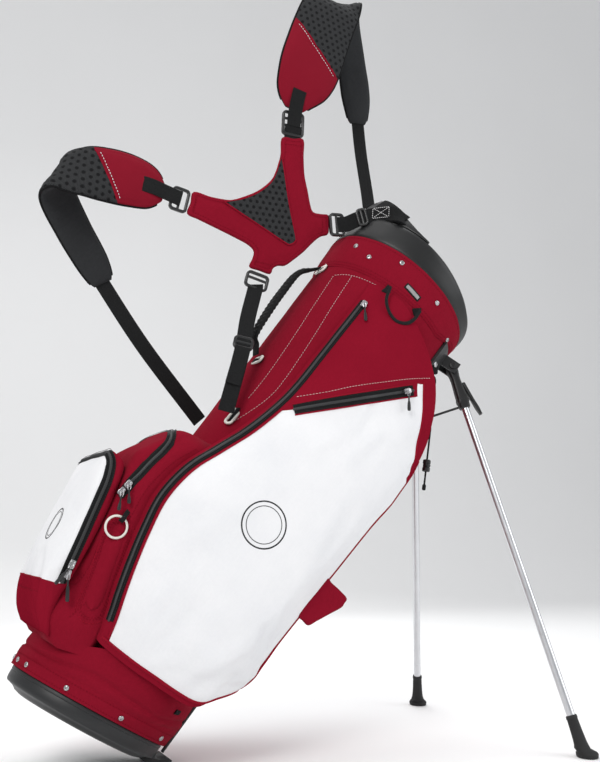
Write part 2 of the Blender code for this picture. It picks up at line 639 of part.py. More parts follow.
def garment_pocket(side, sign):
    bm = bmesh.new()
    first, last = POCKET_STATIONS[0][0], POCKET_STATIONS[-1][0]
    end = POCKET_COLUMNS
    rows = []
    for level in POCKET_LEVELS:
        outer_row, inner_row = [], []
        for j in range(end + 1):
            outer, inner = pocket_points(first + (last - first) * j / end, level, sign)
            outer_row.append(bm.verts.new(outer))
            inner_row.append(bm.verts.new(inner))
        rows.append((outer_row, inner_row))
    for (out0, in0), (out1, in1) in zip(rows, rows[1:]):
        for j in range(end):
            bm.faces.new((out0[j], out0[j + 1], out1[j + 1], out1[j]))
            bm.faces.new((in0[j], in1[j], in1[j + 1], in0[j + 1]))
        bm.faces.new((out0[0], out1[0], in1[0], in0[0]))
        bm.faces.new((out0[end], in0[end], in1[end], out1[end]))
    for outer_row, inner_row in (rows[0], rows[-1]):
        for j in range(end):
            bm.faces.new((outer_row[j], inner_row[j], inner_row[j + 1], outer_row[j + 1]))
    put_bmesh("garment_pocket_" + side, bm, BAG, WHITE_FABRIC, smooth=40)


for side, sign in SIDES:
    garment_pocket(side, sign)

# ---------------------------------------------------------------- spine pockets, umbrella sleeve
# (x, z) outlines in the bag frame
BALL_POCKET = [
    (-0.1525, 0.0985), (-0.176, 0.0960), (-0.186, 0.174), (-0.201, 0.251), (-0.2120, 0.300),
    (-0.2090, 0.3120), (-0.1925, 0.3060), (-0.1840, 0.270), (-0.1740, 0.235), (-0.1660, 0.200),
    (-0.1580, 0.160), (-0.1522, 0.120)]
ACCESSORY_POCKET = [
    (-0.1262, 0.0640), (-0.140, 0.0570), (-0.160, 0.0640), (-0.171, 0.0850), (-0.173, 0.0930),
    (-0.1500, 0.0955), (-0.1502, 0.120), (-0.1560, 0.160), (-0.1640, 0.200), (-0.1720, 0.235),
    (-0.1820, 0.270), (-0.1905, 0.306), (-0.1930, 0.322), (-0.172, 0.360), (-0.165, 0.394),
    (-0.152, 0.405), (-0.140, 0.400), (-0.1285, 0.370)]
UMBRELLA_SLEEVE = [(0.1530, 0.352), (0.1505, 0.290), (0.1600, 0.2865), (0.1860, 0.3360),
                   (0.1830, 0.3500)]

slab("ball_pocket", BAG, WHITE_FABRIC, BALL_POCKET, -0.096, 0.096, chamfer=0.012, shrink=0.90)
slab("accessory_pocket", BAG, RED_FABRIC, ACCESSORY_POCKET, -0.100, 0.100,
     chamfer=0.012, shrink=0.92)
# a fabric tab on the belly edge of the near pocket
slab("umbrella_sleeve", BAG, RED_FABRIC, UMBRELLA_SLEEVE, -0.1225, -0.1125)

# ---------------------------------------------------------------- grab handle, loops and ring
# (centre, width, thickness), bottom to top
GRAB_HANDLE = [
    ((-0.1420, -0.0330, 0.5860), 0.024, 0.005), ((-0.1540, -0.0330, 0.5960), 0.028, 0.008),
    ((-0.1600, -0.0310, 0.6400), 0.030, 0.009), ((-0.1620, -0.0260, 0.6880), 0.030, 0.009),
    ((-0.1600, -0.0190, 0.7340), 0.028, 0.008), ((-0.1450, -0.0130, 0.7600), 0.024, 0.005)]
LOOP_WIRE_R = 0.0019
ANCHOR_RADII = (0.0165, 0.0048)     # long and short, to the wire centre
SLOT_RADII = (0.0185, 0.0042)
TOWEL_LOOP = [
    (-0.049, -0.1275, 0.7760), (-0.044, -0.1335, 0.7520), (-0.030, -0.1380, 0.7370),
    (-0.012, -0.1400, 0.7330), (0.004, -0.1395, 0.7430), (0.011, -0.1370, 0.7590),
    (0.012, -0.1335, 0.7790)]
RING_CENTRE = Vector((-0.1510, -0.1060, 0.2200))
RING_R = 0.0150


def loop_ring(name, centre, along, out, radii):
    """A flat plastic loop: long way along, standing off in the out direction."""
    along = Vector(along).normalized()
    points = ellipse(centre, along, square_to(out, along), *radii, 16)
    wire(name, BAG, WHITE_PLASTIC, points, LOOP_WIRE_R, origin=centre, cyclic=True)


strap("grab_handle", BAG, BLACK_SOFT,
      [(centre, (0, 1, 0), width, thickness) for centre, width, thickness in GRAB_HANDLE])
for end, centre in (("lower", (-0.1405, -0.033, 0.5710)), ("upper", (-0.1435, -0.013, 0.7745))):
    loop_ring("handle_anchor_" + end, centre, (0, 1, 0), (-0.25, 0, 1), ANCHOR_RADII)
for side, sign in SIDES:
    loop_ring("strap_slot_" + side, (-0.1205, sign * 0.0700, 0.4640),
              (-0.10, sign * 0.26, -0.96), (-0.75, sign * 0.62, 0.2), SLOT_RADII)

# D-shaped loop below the cuff on the near side
wire("towel_loop", BAG, BLACK_SOFT, TOWEL_LOOP, 0.0026, origin=TOWEL_LOOP[0])

# ring on the near side of the accessory pocket, its origin at the top
wire("tool_ring", BAG, PALE_RING,
     ellipse(RING_CENTRE, (1, 0, 0), (0, 0, 1), RING_R, RING_R, 20), 0.0016,
     origin=RING_CENTRE + Vector((0, 0, RING_R)), cyclic=True)

# ---------------------------------------------------------------- elastic cord and its lock
CORD = [Vector(point) for point in (
    (0.0975, -0.1000, 0.7300), (0.1120, -0.1020, 0.7250), (0.1270, -0.1000, 0.6960),
    (0.1540, -0.1000, 0.6550), (0.2000, -0.1000, 0.5730))]
LOCK_PLACE = 0.62           # fraction along the last run

wire("bungee_cord", BAG, BLACK_MATT, CORD, 0.0014, origin=CORD[0])
lock_centre = CORD[3].lerp(CORD[4], LOCK_PLACE)
lock_axes = basis(CORD[4] - CORD[3])
lock_reach = lock_axes[2] * 0.02
lock = box("cord_lock", BAG, Finish(BLACK, roughness=0.45), lock_centre, (0.011, 0.013, 0.019),
           lock_axes, round_edge=0.0018)
boolean(lock, bar("cut_lock", BAG, None, lock_centre - lock_reach, lock_centre + lock_reach,
                  0.0019, segments=10))

# ---------------------------------------------------------------- zip sliders
SLIDER_SIZE = (0.0085, 0.0050, 0.0115)
PULL_SIZE = (0.0022, 0.0048, 0.030)
PULL_ROOT = 0.0046          # separate puller's root above the slider centre
PULL_START = 0.0010         # separate puller's start past its root
TONGUE_RISE = 0.0032        # joined puller above the slider centre
DOWN = BAG_TO_WORLD.to_3x3().inverted() @ Vector((0, 0, -1))
# (name, centre, direction of the zip, outward direction, whether the puller is a separate piece)
SLIDERS = [
    ("garment_near", (-0.0655, -0.1210, 0.7250), (0.005, 0.006, 0.165), (-0.35, -1, 0), True),
    ("garment_far", (-0.0655, 0.1210, 0.7250), (0.005, -0.006, 0.165), (-0.35, 1, 0), False),
    ("upper", (0.0640, -0.1555, 0.6500), (0.655, 0, 0.755), (0, -1, 0), True),
    ("accessory", (-0.1740, -0.1045, 0.2760), (0.10, 0, 1), (0, -1, 0), False),
    ("ball", (-0.1620, -0.1045, 0.1330), (-0.26, 0, 1), (0, -1, 0), False)]


def zip_slider(name, centre, along, out, separate):
    """A small body with a puller that hangs down."""
    centre = Vector(centre)
    along = Vector(along).normalized()
    out = square_to(out, along)
    body = box("zip_slider_" + name, BAG, STEEL, centre, SLIDER_SIZE,
               (along.cross(out).normalized(), out, along), round_edge=0.0012)
    hang = square_to(DOWN, out)
    axes = basis(hang, out)
    half_pull = hang * PULL_SIZE[2] / 2
    if separate:
        root = centre + out * PULL_ROOT
        box("zip_pull_" + name, BAG, BLACK_MATT, root + hang * PULL_START + half_pull, PULL_SIZE,
            axes, origin=root, round_edge=0.0007)
    else:
        tongue = box("cut_zip_slider_" + name, BAG, None, centre + out * TONGUE_RISE + half_pull,
                     PULL_SIZE, axes)
        boolean(body, tongue, "UNION")


for row in SLIDERS:
    zip_slider(*row)

# ---------------------------------------------------------------- shoulder harness, in world axes
# (x, z) outline
HUB = [
    (0.041, 0.857), (0.031, 0.820), (0.070, 0.806), (0.115, 0.790), (0.143, 0.774),
    (0.136, 0.746), (0.172, 0.738), (0.180, 0.752), (0.196, 0.754), (0.232, 0.783),
    (0.262, 0.812), (0.276, 0.818), (0.277, 0.851), (0.246, 0.852), (0.239, 0.886),
    (0.233, 0.914), (0.231, 0.976), (0.192, 0.973), (0.184, 0.920), (0.166, 0.889),
    (0.126, 0.860), (0.097, 0.851), (0.069, 0.853)]
# (centre, width direction, width, thickness)
PAD_RIGHT = [
    ((0.2130, -0.0230, 1.0270), (1, 0, -0.1), 0.036, 0.010),
    ((0.2200, -0.0290, 1.0560), (1, 0, -0.12), 0.080, 0.014),
    ((0.2360, -0.0350, 1.0960), (1, 0, -0.15), 0.104, 0.016),
    ((0.2600, -0.0360, 1.1680), (1, 0, -0.2), 0.104, 0.016),
    ((0.2820, -0.0300, 1.2200), (1, 0, -0.1), 0.098, 0.016),
    ((0.3040, -0.0060, 1.2480), (1, 0.25, 0.0), 0.088, 0.016),
    ((0.3340, 0.0260, 1.2320), (1, 0.3, 0.1), 0.074, 0.016),
    ((0.3570, 0.0440, 1.1800), (1, 0.2, 0.1), 0.062, 0.015),
    ((0.3700, 0.0500, 1.1100), (1, 0, 0.0), 0.054, 0.014),
    ((0.3730, 0.0500, 1.0600), (1, 0, 0.0), 0.036, 0.010)]
PAD_LEFT = [
    ((-0.0080, -0.0220, 0.8480), (0.1, 0, 1), 0.034, 0.010),
    ((-0.0300, -0.0270, 0.8520), (0.3, 0, 1), 0.066, 0.014),
    ((-0.0620, -0.0310, 0.8570), (0.25, 0, 1), 0.080, 0.016),
    ((-0.1000, -0.0330, 0.8600), (0.25, 0, 1), 0.082, 0.016),
    ((-0.1340, -0.0290, 0.8620), (0.3, 0, 1), 0.076, 0.016),
    ((-0.1640, -0.0080, 0.8620), (0.45, 0.2, 0.9), 0.070, 0.016),
    ((-0.1620, 0.0240, 0.8400), (0.8, 0.2, 0.5), 0.062, 0.016),
    ((-0.1320, 0.0420, 0.7930), (0.9, 0.1, 0.45), 0.056, 0.015),
    ((-0.1000, 0.0480, 0.7450), (0.9, 0, 0.55), 0.050, 0.014),
    ((-0.0810, 0.0500, 0.7130), (0.9, 0, 0.6), 0.036, 0.010)]
BUCKLE_W, BUCKLE_T = 0.031, 0.009
# (name, centre, direction of its length, length)
BUCKLES = [
    ("right_pad", (0.2125, -0.0230, 1.0010), (0.04, 0, 1), 0.044),
    ("left_pad", (0.0110, -0.0230, 0.8430), (1, 0, -0.22), 0.030),
    ("near_slot", (0.1490, -0.0240, 0.7240), (-0.25, 0, -1), 0.026),
    ("handle", (0.2925, -0.0300, 0.8350), (1, 0, 0.08), 0.026)]
WEB_W, WEB_T = 0.0245, 0.0018
NEAR_WEB_DIR = (1, -0.25, -0.3)
# (centre, width direction)
WEBBING = {
    "right_pad": [
        ((0.3740, 0.0500, 1.0530), (1, 0, 0)), ((0.3770, 0.0450, 1.0000), (1, 0, 0)),
        ((0.3800, 0.0300, 0.9250), (1, 0, 0))],
    "left_pad": [
        ((-0.0770, 0.0510, 0.7060), (1, 0, 0.6)), ((-0.0100, 0.0560, 0.6160), (1, 0, 0.8)),
        ((0.0760, 0.0700, 0.5160), (1, 0, 0.8))],
    "near_slot": [
        ((0.1450, -0.0270, 0.7090), NEAR_WEB_DIR), ((0.1250, -0.0480, 0.6560), NEAR_WEB_DIR),
        ((0.1080, -0.0680, 0.5980), NEAR_WEB_DIR), ((0.0810, -0.0815, 0.5120), NEAR_WEB_DIR)],
    "handle": [
        ((0.3105, -0.0345, 0.8385), (-0.3, 0, 1)), ((0.3180, -0.0500, 0.8480), (-0.3, 0, 1)),
        ((0.3340, -0.0880, 0.8680), (-0.4, 0.2, 1)), ((0.3560, -0.1060, 0.8840), (-0.5, 0.2, 1))]}
ADJUSTER_PLACE = 0.74       # fraction along the second run of the near webbing

slab("strap_hub", WORLD, RED_FABRIC, HUB, -0.0290, -0.0190, chamfer=0.0025, shrink=0.975)
strap("shoulder_pad_right", WORLD, RED_FABRIC, PAD_RIGHT)
strap("shoulder_pad_left", WORLD, RED_FABRIC, PAD_LEFT)

for name, centre, along, length in BUCKLES:
    along = Vector(along).normalized()
    out = Vector((0, -1, 0))
    box("buckle_" + name, WORLD, Finish(BLACK, roughness=0.35), centre,
        (BUCKLE_W, BUCKLE_T, length), (along.cross(out).normalized(), out, along),
        round_edge=0.002)

for name, stations in WEBBING.items():
    strap("webbing_" + name, WORLD, BLACK_WEBBING,
          [(centre, width_dir, WEB_W, WEB_T) for centre, width_dir in stations])

# adjuster: a rectangular sleeve round the near webbing
run_start, run_end = [Vector(centre) for centre, _ in WEBBING["near_slot"][1:3]]
run = (run_end - run_start).normalized()
across = square_to(NEAR_WEB_DIR, run)
adjuster_axes = (across, run.cross(across).normalized(), run)
adjuster_centre = run_start.lerp(run_end, ADJUSTER_PLACE)
adjuster = box("strap_adjuster", WORLD, BLACK_SMOOTH, adjuster_centre, (0.031, 0.0060, 0.022),
               adjuster_axes, round_edge=0.0010)
boolean(adjuster, box("cut_adjuster", WORLD, None, adjuster_centre, (0.0258, 0.0030, 0.05),
                      adjuster_axes))
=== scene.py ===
import math

import bpy
import bmesh
import numpy as np
from mathutils import Matrix, Vector, noise
from mathutils.bvhtree import BVHTree
from mathutils.geometry import delaunay_2d_cdt


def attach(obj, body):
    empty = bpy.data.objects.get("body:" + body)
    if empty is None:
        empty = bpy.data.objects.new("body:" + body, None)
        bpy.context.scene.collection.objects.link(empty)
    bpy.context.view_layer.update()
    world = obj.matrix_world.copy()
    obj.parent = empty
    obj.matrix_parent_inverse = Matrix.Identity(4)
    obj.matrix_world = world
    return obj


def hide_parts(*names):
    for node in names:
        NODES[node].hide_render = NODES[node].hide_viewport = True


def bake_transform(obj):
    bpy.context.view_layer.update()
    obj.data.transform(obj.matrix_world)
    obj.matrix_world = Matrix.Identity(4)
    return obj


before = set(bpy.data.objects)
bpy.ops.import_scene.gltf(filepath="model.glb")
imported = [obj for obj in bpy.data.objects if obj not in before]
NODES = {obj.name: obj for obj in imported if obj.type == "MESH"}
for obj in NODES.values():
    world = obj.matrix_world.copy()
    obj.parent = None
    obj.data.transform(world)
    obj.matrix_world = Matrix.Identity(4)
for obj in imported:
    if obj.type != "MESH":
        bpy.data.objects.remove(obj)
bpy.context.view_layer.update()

# ------------------------------------------------------------------ frames and driving dimensions
BASE_A, BASE_B = 0.120, 0.108
O = Vector((-BASE_A * math.cos(math.radians(30)), 0.0, BASE_A * math.sin(math.radians(30)) + 0.008))
BAG_M = Matrix.Translation(O) @ Matrix.Rotation(math.radians(38), 4, "Y")
BASE_M = Matrix.Translation(O) @ Matrix.Rotation(math.radians(30), 4, "Y")
COL_M = BAG_M @ Matrix.Translation((0, 0, 0.84)) @ Matrix.Rotation(math.radians(3), 4, "Y")
WORLD_M = Matrix.Identity(4)
PIVOT = Vector((0.140, -0.060, 0.785))
FOOT_WORLD = Vector((0.590, -0.237, 0.0))
FOLD_END = Vector((0.1590, -0.036, 0.152))


def tube_a(z):
    return 0.118 + 0.0175 * z / 0.84 - 0.003


def tube_b(z):
    return 0.107 + 0.0215 * z / 0.84 - 0.003


def table(tab, x):
    return float(np.interp(x, [t[0] for t in tab], [t[1] for t in tab]))


def smooth(e0, e1, x):
    t = min(1.0, max(0.0, (x - e0) / (e1 - e0)))
    return t * t * (3 - 2 * t)


def nz(x, y, z, s=1.0, seed=0.0):
    return noise.noise(Vector((x * s + seed, y * s - seed * 0.7, z * s + seed * 1.3)))


# ------------------------------------------------------------------ node materials
def sock(nt, dst, src):
    if isinstance(src, (int, float)):
        dst.default_value = src
    elif isinstance(src, (tuple, list)):
        dst.default_value = src
    else:
        nt.links.new(src, dst)


def mth(nt, op, a, b=None, c=None):
    n = nt.nodes.new("ShaderNodeMath")
    n.operation = op
    sock(nt, n.inputs[0], a)
    if b is not None:
        sock(nt, n.inputs[1], b)
    if c is not None:
        sock(nt, n.inputs[2], c)
    return n.outputs[0]


def mixc(nt, f, a, b):
    n = nt.nodes.new("ShaderNodeMix")
    n.data_type = "RGBA"
    sock(nt, n.inputs[0], f)
    for s, v in ((n.inputs[6], a), (n.inputs[7], b)):
        if isinstance(v, (tuple, list)):
            s.default_value = (*v[:3], 1.0)
        else:
            nt.links.new(v, s)
    return n.outputs[2]


def mixf(nt, f, a, b):
    return mth(nt, "ADD", mth(nt, "MULTIPLY", a, mth(nt, "SUBTRACT", 1.0, f)), mth(nt, "MULTIPLY", b, f))


def coords(nt, tilt=38.0):
    tc = nt.nodes.new("ShaderNodeTexCoord")
    out = []
    for name in ("Object", "Normal"):
        m = nt.nodes.new("ShaderNodeMapping")
        m.vector_type = "POINT"
        m.inputs["Rotation"].default_value = (0, -math.radians(tilt), 0)
        nt.links.new(tc.outputs[name], m.inputs["Vector"])
        out.append(m.outputs[0])
    return out


def xyz(nt, v):
    s = nt.nodes.new("ShaderNodeSeparateXYZ")
    nt.links.new(v, s.inputs[0])
    return s.outputs[0], s.outputs[1], s.outputs[2]


def noise_t(nt, vec, scale, detail=3.0, rough=0.55):
    n = nt.nodes.new("ShaderNodeTexNoise")
    nt.links.new(vec, n.inputs["Vector"])
    n.inputs["Scale"].default_value = scale
    n.inputs["Detail"].default_value = detail
    n.inputs["Roughness"].default_value = rough
    return n.outputs["Fac"]


def weave_height(nt, vec, nrm, pitch):
    """A plain weave that needs no UVs: a product of sines in each axis plane, weighted by the normal."""
    k = 2 * math.pi / pitch
    x, y, z = (mth(nt, "SINE", mth(nt, "MULTIPLY", c, k)) for c in xyz(nt, vec))
    nx, ny, nzz = (mth(nt, "POWER", mth(nt, "ABSOLUTE", c), 2.0) for c in xyz(nt, nrm))
    a = mth(nt, "MULTIPLY", mth(nt, "MULTIPLY", y, z), nx)
    b = mth(nt, "MULTIPLY", mth(nt, "MULTIPLY", x, z), ny)
    c = mth(nt, "MULTIPLY", mth(nt, "MULTIPLY", x, y), nzz)
    return mth(nt, "ADD", mth(nt, "ADD", a, b), c)


def bump(nt, height, strength, dist, prev=None):
    b = nt.nodes.new("ShaderNodeBump")
    b.inputs["Strength"].default_value = strength
    b.inputs["Distance"].default_value = dist
    nt.links.new(height, b.inputs["Height"])
    if prev is not None:
        nt.links.new(prev, b.inputs["Normal"])
    return b.outputs[0]


def attr(nt, name, kind="Fac"):
    a = nt.nodes.new("ShaderNodeAttribute")
    a.attribute_name = name
    return a.outputs[kind]


def base(name):
    m = bpy.data.materials.new(name)
    m.use_nodes = True
    nt = m.node_tree
    return m, nt, nt.nodes["Principled BSDF"]


def hexdots(nt, u, v, pitch):
    """Distance from the nearest point of a staggered lattice, in metres."""
    out = []
    for off in (0.0, 0.5):
        fu = mth(nt, "SUBTRACT", mth(nt, "FRACT", mth(nt, "ADD", mth(nt, "DIVIDE", u, pitch), off + 40.0)), 0.5)
        fv = mth(nt, "SUBTRACT", mth(nt, "FRACT", mth(nt, "ADD", mth(nt, "DIVIDE", v, pitch * 1.7320508), off + 40.0)), 0.5)
        du = mth(nt, "MULTIPLY", fu, pitch)
        dv = mth(nt, "MULTIPLY", fv, pitch * 1.7320508)
        out.append(mth(nt, "SQRT", mth(nt, "ADD", mth(nt, "MULTIPLY", du, du), mth(nt, "MULTIPLY", dv, dv))))
    return mth(nt, "MINIMUM", out[0], out[1])


def hexdist(u, v, pitch):
    best = 9.0
    for off in (0.0, 0.5):
        fu = (u / pitch + off + 40.0) % 1.0 - 0.5
        fv = (v / (pitch * 1.7320508) + off + 40.0) % 1.0 - 0.5
        best = min(best, math.hypot(fu * pitch, fv * pitch * 1.7320508))
    return best


CRIMSON = (0.226, 0.0074, 0.0205)
CRIMSON_D = (0.171, 0.0054, 0.0150)
WHITE = (0.79, 0.79, 0.80)
WHITE_D = (0.65, 0.66, 0.685)
HEX = 0.0112


def fabric(name, col, dark, pitch=0.0013, weave=0.22, rough=0.66, sheen=0.03, tilt=38.0, grain=0.10, second=None):
    """Woven cloth; `second` = (colour, dark) takes over where the split attribute is above zero."""
    m, nt, b = base(name)
    vec, nrm = coords(nt, tilt)
    big = noise_t(nt, vec, 9.0, 4.0)
    fine = noise_t(nt, vec, 260.0, 2.0)
    streak = nt.nodes.new("ShaderNodeMapping")
    streak.inputs["Scale"].default_value = (900.0, 900.0, 45.0)
    nt.links.new(vec, streak.inputs["Vector"])
    slub = noise_t(nt, streak.outputs[0], 1.0, 2.0)
    w = weave_height(nt, vec, nrm, pitch)
    f = mth(nt, "ADD", mth(nt, "MULTIPLY", big, 0.85), mth(nt, "MULTIPLY", mth(nt, "SUBTRACT", fine, 0.5), grain * 4))
    f = mth(nt, "ADD", f, mth(nt, "MULTIPLY", mth(nt, "SUBTRACT", slub, 0.5), grain * 4))
    # Painted shade: the weave's low threads darken the colour and the raised threads lighten it, following the weave
    # height w.
    f = mth(nt, "ADD", f, mth(nt, "MULTIPLY", w, -0.10))
    f = mth(nt, "MULTIPLY", mth(nt, "SUBTRACT", f, 0.22), 1.3)
    f = mth(nt, "MINIMUM", mth(nt, "MAXIMUM", f, 0.0), 1.0)
    colour = mixc(nt, f, col, dark)
    if second:
        s = mth(nt, "GREATER_THAN", attr(nt, "split"), 0.0)
        colour = mixc(nt, s, colour, mixc(nt, f, second[0], second[1]))
    nt.links.new(colour, b.inputs["Base Color"])
    r = mth(nt, "ADD", rough, mth(nt, "MULTIPLY", mth(nt, "SUBTRACT", fine, 0.5), 0.25))
    r = mth(nt, "ADD", r, mth(nt, "MULTIPLY", w, 0.05))
    nt.links.new(r, b.inputs["Roughness"])
    b.inputs["Sheen Weight"].default_value = sheen
    b.inputs["Sheen Roughness"].default_value = 0.45
    b.inputs["Specular IOR Level"].default_value = 0.0 if second or "crimson" in name else 0.08
    n1 = bump(nt, w, weave, 0.00035)
    n2 = bump(nt, slub, 0.12, 0.0006, n1)
    n3 = bump(nt, noise_t(nt, vec, 34.0, 3.0), 0.22, 0.004, n2)
    nt.links.new(n3, b.inputs["Normal"])
    return m


def webbing_mat(name, col, light, rib=0.0016, tilt=0.0):
    """Flat woven webbing: a herringbone rib across uvm.x, running along uvm.y."""
    m, nt, b = base(name)
    a = attr(nt, "uvm", "Vector")
    u, v, _ = xyz(nt, a)
    vec, nrm = coords(nt, tilt)
    zig = mth(nt, "ABSOLUTE", mth(nt, "SUBTRACT", mth(nt, "FRACT", mth(nt, "ADD", mth(nt, "DIVIDE", u, rib * 4), 40.0)), 0.5))
    ph = mth(nt, "ADD", mth(nt, "DIVIDE", v, rib), mth(nt, "MULTIPLY", zig, 4.0))
    h = mth(nt, "SINE", mth(nt, "MULTIPLY", ph, 2 * math.pi))
    cross = mth(nt, "SINE", mth(nt, "MULTIPLY", u, 2 * math.pi / (rib * 1.1)))
    hh = mth(nt, "ADD", mth(nt, "MULTIPLY", h, 0.6), mth(nt, "MULTIPLY", cross, 0.4))
    fuzz = noise_t(nt, vec, 500.0, 2.0)
    # Colour: painted shade in the rib grooves and painted highlight on the raised ribs, from the rib height hh, plus
    # random fuzz tone.
    f = mth(nt, "ADD", mth(nt, "MULTIPLY", hh, 0.25), fuzz)
    f = mth(nt, "MINIMUM", mth(nt, "MAXIMUM", f, 0.0), 1.0)
    nt.links.new(mixc(nt, f, col, light), b.inputs["Base Color"])
    nt.links.new(mth(nt, "ADD", 0.62, mth(nt, "MULTIPLY", fuzz, 0.2)), b.inputs["Roughness"])
    b.inputs["Sheen Weight"].default_value = 0.02
    b.inputs["Specular IOR Level"].default_value = 0.04
    nt.links.new(bump(nt, fuzz, 0.25, 0.0006, bump(nt, hh, 0.45, 0.0006)), b.inputs["Normal"])
    return m


def mesh_mat(name, second=None):
    """Black spacer mesh: a fine dotted knit with staggered dimples in uvm, the dimples and knit dots darkened as
    painted shade; `second` = (colour, dark) where split is above zero.
    """
    m, nt, b = base(name)
    u, v, _ = xyz(nt, attr(nt, "uvm", "Vector"))
    d = hexdots(nt, u, v, HEX)
    knit = hexdots(nt, u, v, 0.0019)
    hole = nt.nodes.new("ShaderNodeMapRange")
    hole.interpolation_type = "SMOOTHSTEP"
    nt.links.new(d, hole.inputs[0])
    hole.inputs[1].default_value = 0.0016
    hole.inputs[2].default_value = 0.0037
    kk = nt.nodes.new("ShaderNodeMapRange")
    nt.links.new(knit, kk.inputs[0])
    kk.inputs[1].default_value = 0.0003
    kk.inputs[2].default_value = 0.0009
    vec, nrm = coords(nt, 38.0)
    grain = noise_t(nt, vec, 420.0, 2.0)
    # Painted shade: the knit dots (open_) and the hex dimples (shade) are darkened where the bump below sets hollows;
    # the grain mix after them is random tone.
    open_ = mixc(nt, kk.outputs[0], (0.008, 0.008, 0.009), (0.050, 0.051, 0.053))
    shade = mixc(nt, hole.outputs[0], (0.006, 0.006, 0.0065), open_)
    shade = mixc(nt, mth(nt, "MULTIPLY", grain, 0.5), shade, (0.022, 0.023, 0.024))
    rough = 0.58
    h = mth(nt, "ADD", mth(nt, "MULTIPLY", hole.outputs[0], 1.0), mth(nt, "MULTIPLY", kk.outputs[0], 0.25))
    if second:
        s = mth(nt, "GREATER_THAN", attr(nt, "split"), 0.0)
        big = noise_t(nt, vec, 12.0, 3.0)
        w = weave_height(nt, vec, nrm, 0.0013)
        shade = mixc(nt, s, shade, mixc(nt, mth(nt, "ADD", mth(nt, "MULTIPLY", big, 0.8), mth(nt, "MULTIPLY", w, 0.1)), second[0], second[1]))
        h = mixf(nt, s, h, mth(nt, "MULTIPLY", w, 0.12))
    nt.links.new(shade, b.inputs["Base Color"])
    nt.links.new(mth(nt, "ADD", rough, mth(nt, "MULTIPLY", grain, 0.15)), b.inputs["Roughness"])
    b.inputs["Sheen Weight"].default_value = 0.02
    b.inputs["Specular IOR Level"].default_value = 0.04
    nt.links.new(bump(nt, h, 0.6, 0.0012), b.inputs["Normal"])
    return m


def plastic(name, col, rough=0.36, speck=0.10, coat=0.0, light=None):
    m, nt, b = base(name)
    vec, nrm = coords(nt, 0.0)
    g = noise_t(nt, vec, 900.0, 2.0)
    big = noise_t(nt, vec, 22.0, 4.0)
    scr = nt.nodes.new("ShaderNodeMapping")
    scr.inputs["Scale"].default_value = (60.0, 900.0, 90.0)
    nt.links.new(vec, scr.inputs["Vector"])
    scuff = noise_t(nt, scr.outputs[0], 1.0, 3.0, 0.7)
    geo = nt.nodes.new("ShaderNodeNewGeometry")
    edge = nt.nodes.new("ShaderNodeMapRange")
    nt.links.new(geo.outputs["Pointiness"], edge.inputs[0])
    edge.inputs[1].default_value = 0.53
    edge.inputs[2].default_value = 0.62
    light = light or tuple(min(1.0, c * 2.0 + 0.01) for c in col)
    # Colour turns lighter on convex edges (pointiness 0.53 to 0.62), broken up by the scuff noise.
    f = mth(nt, "MULTIPLY", edge.outputs[0], mth(nt, "ADD", 0.35, mth(nt, "MULTIPLY", scuff, 0.5)))
    c0 = mixc(nt, big, col, tuple(c * 0.78 for c in col))
    nt.links.new(mixc(nt, f, c0, light), b.inputs["Base Color"])
    r = mth(nt, "ADD", rough - 0.05, mth(nt, "MULTIPLY", scuff, 0.16))
    nt.links.new(mth(nt, "ADD", r, mth(nt, "MULTIPLY", big, 0.06)), b.inputs["Roughness"])
    b.inputs["Specular IOR Level"].default_value = 0.36
    b.inputs["Coat Weight"].default_value = coat
    b.inputs["Coat Roughness"].default_value = 0.25
    nt.links.new(bump(nt, g, speck, 0.0006), b.inputs["Normal"])
    return m


def metal(name, col, rough=0.28, brushed=0.25, stretch=(700.0, 700.0, 60.0), tilt=0.0):
    m, nt, b = base(name)
    vec, nrm = coords(nt, tilt)
    s = nt.nodes.new("ShaderNodeMapping")
    s.inputs["Scale"].default_value = stretch
    nt.links.new(vec, s.inputs["Vector"])
    g = noise_t(nt, s.outputs[0], 1.0, 3.0, 0.6)
    big = noise_t(nt, vec, 40.0, 3.0)
    nt.links.new(mixc(nt, big, col, tuple(c * 0.82 for c in col)), b.inputs["Base Color"])
    b.inputs["Metallic"].default_value = 1.0
    nt.links.new(mth(nt, "ADD", rough - 0.06, mth(nt, "MULTIPLY", g, 0.20)), b.inputs["Roughness"])
    nt.links.new(bump(nt, g, brushed, 0.0003), b.inputs["Normal"])
    return m


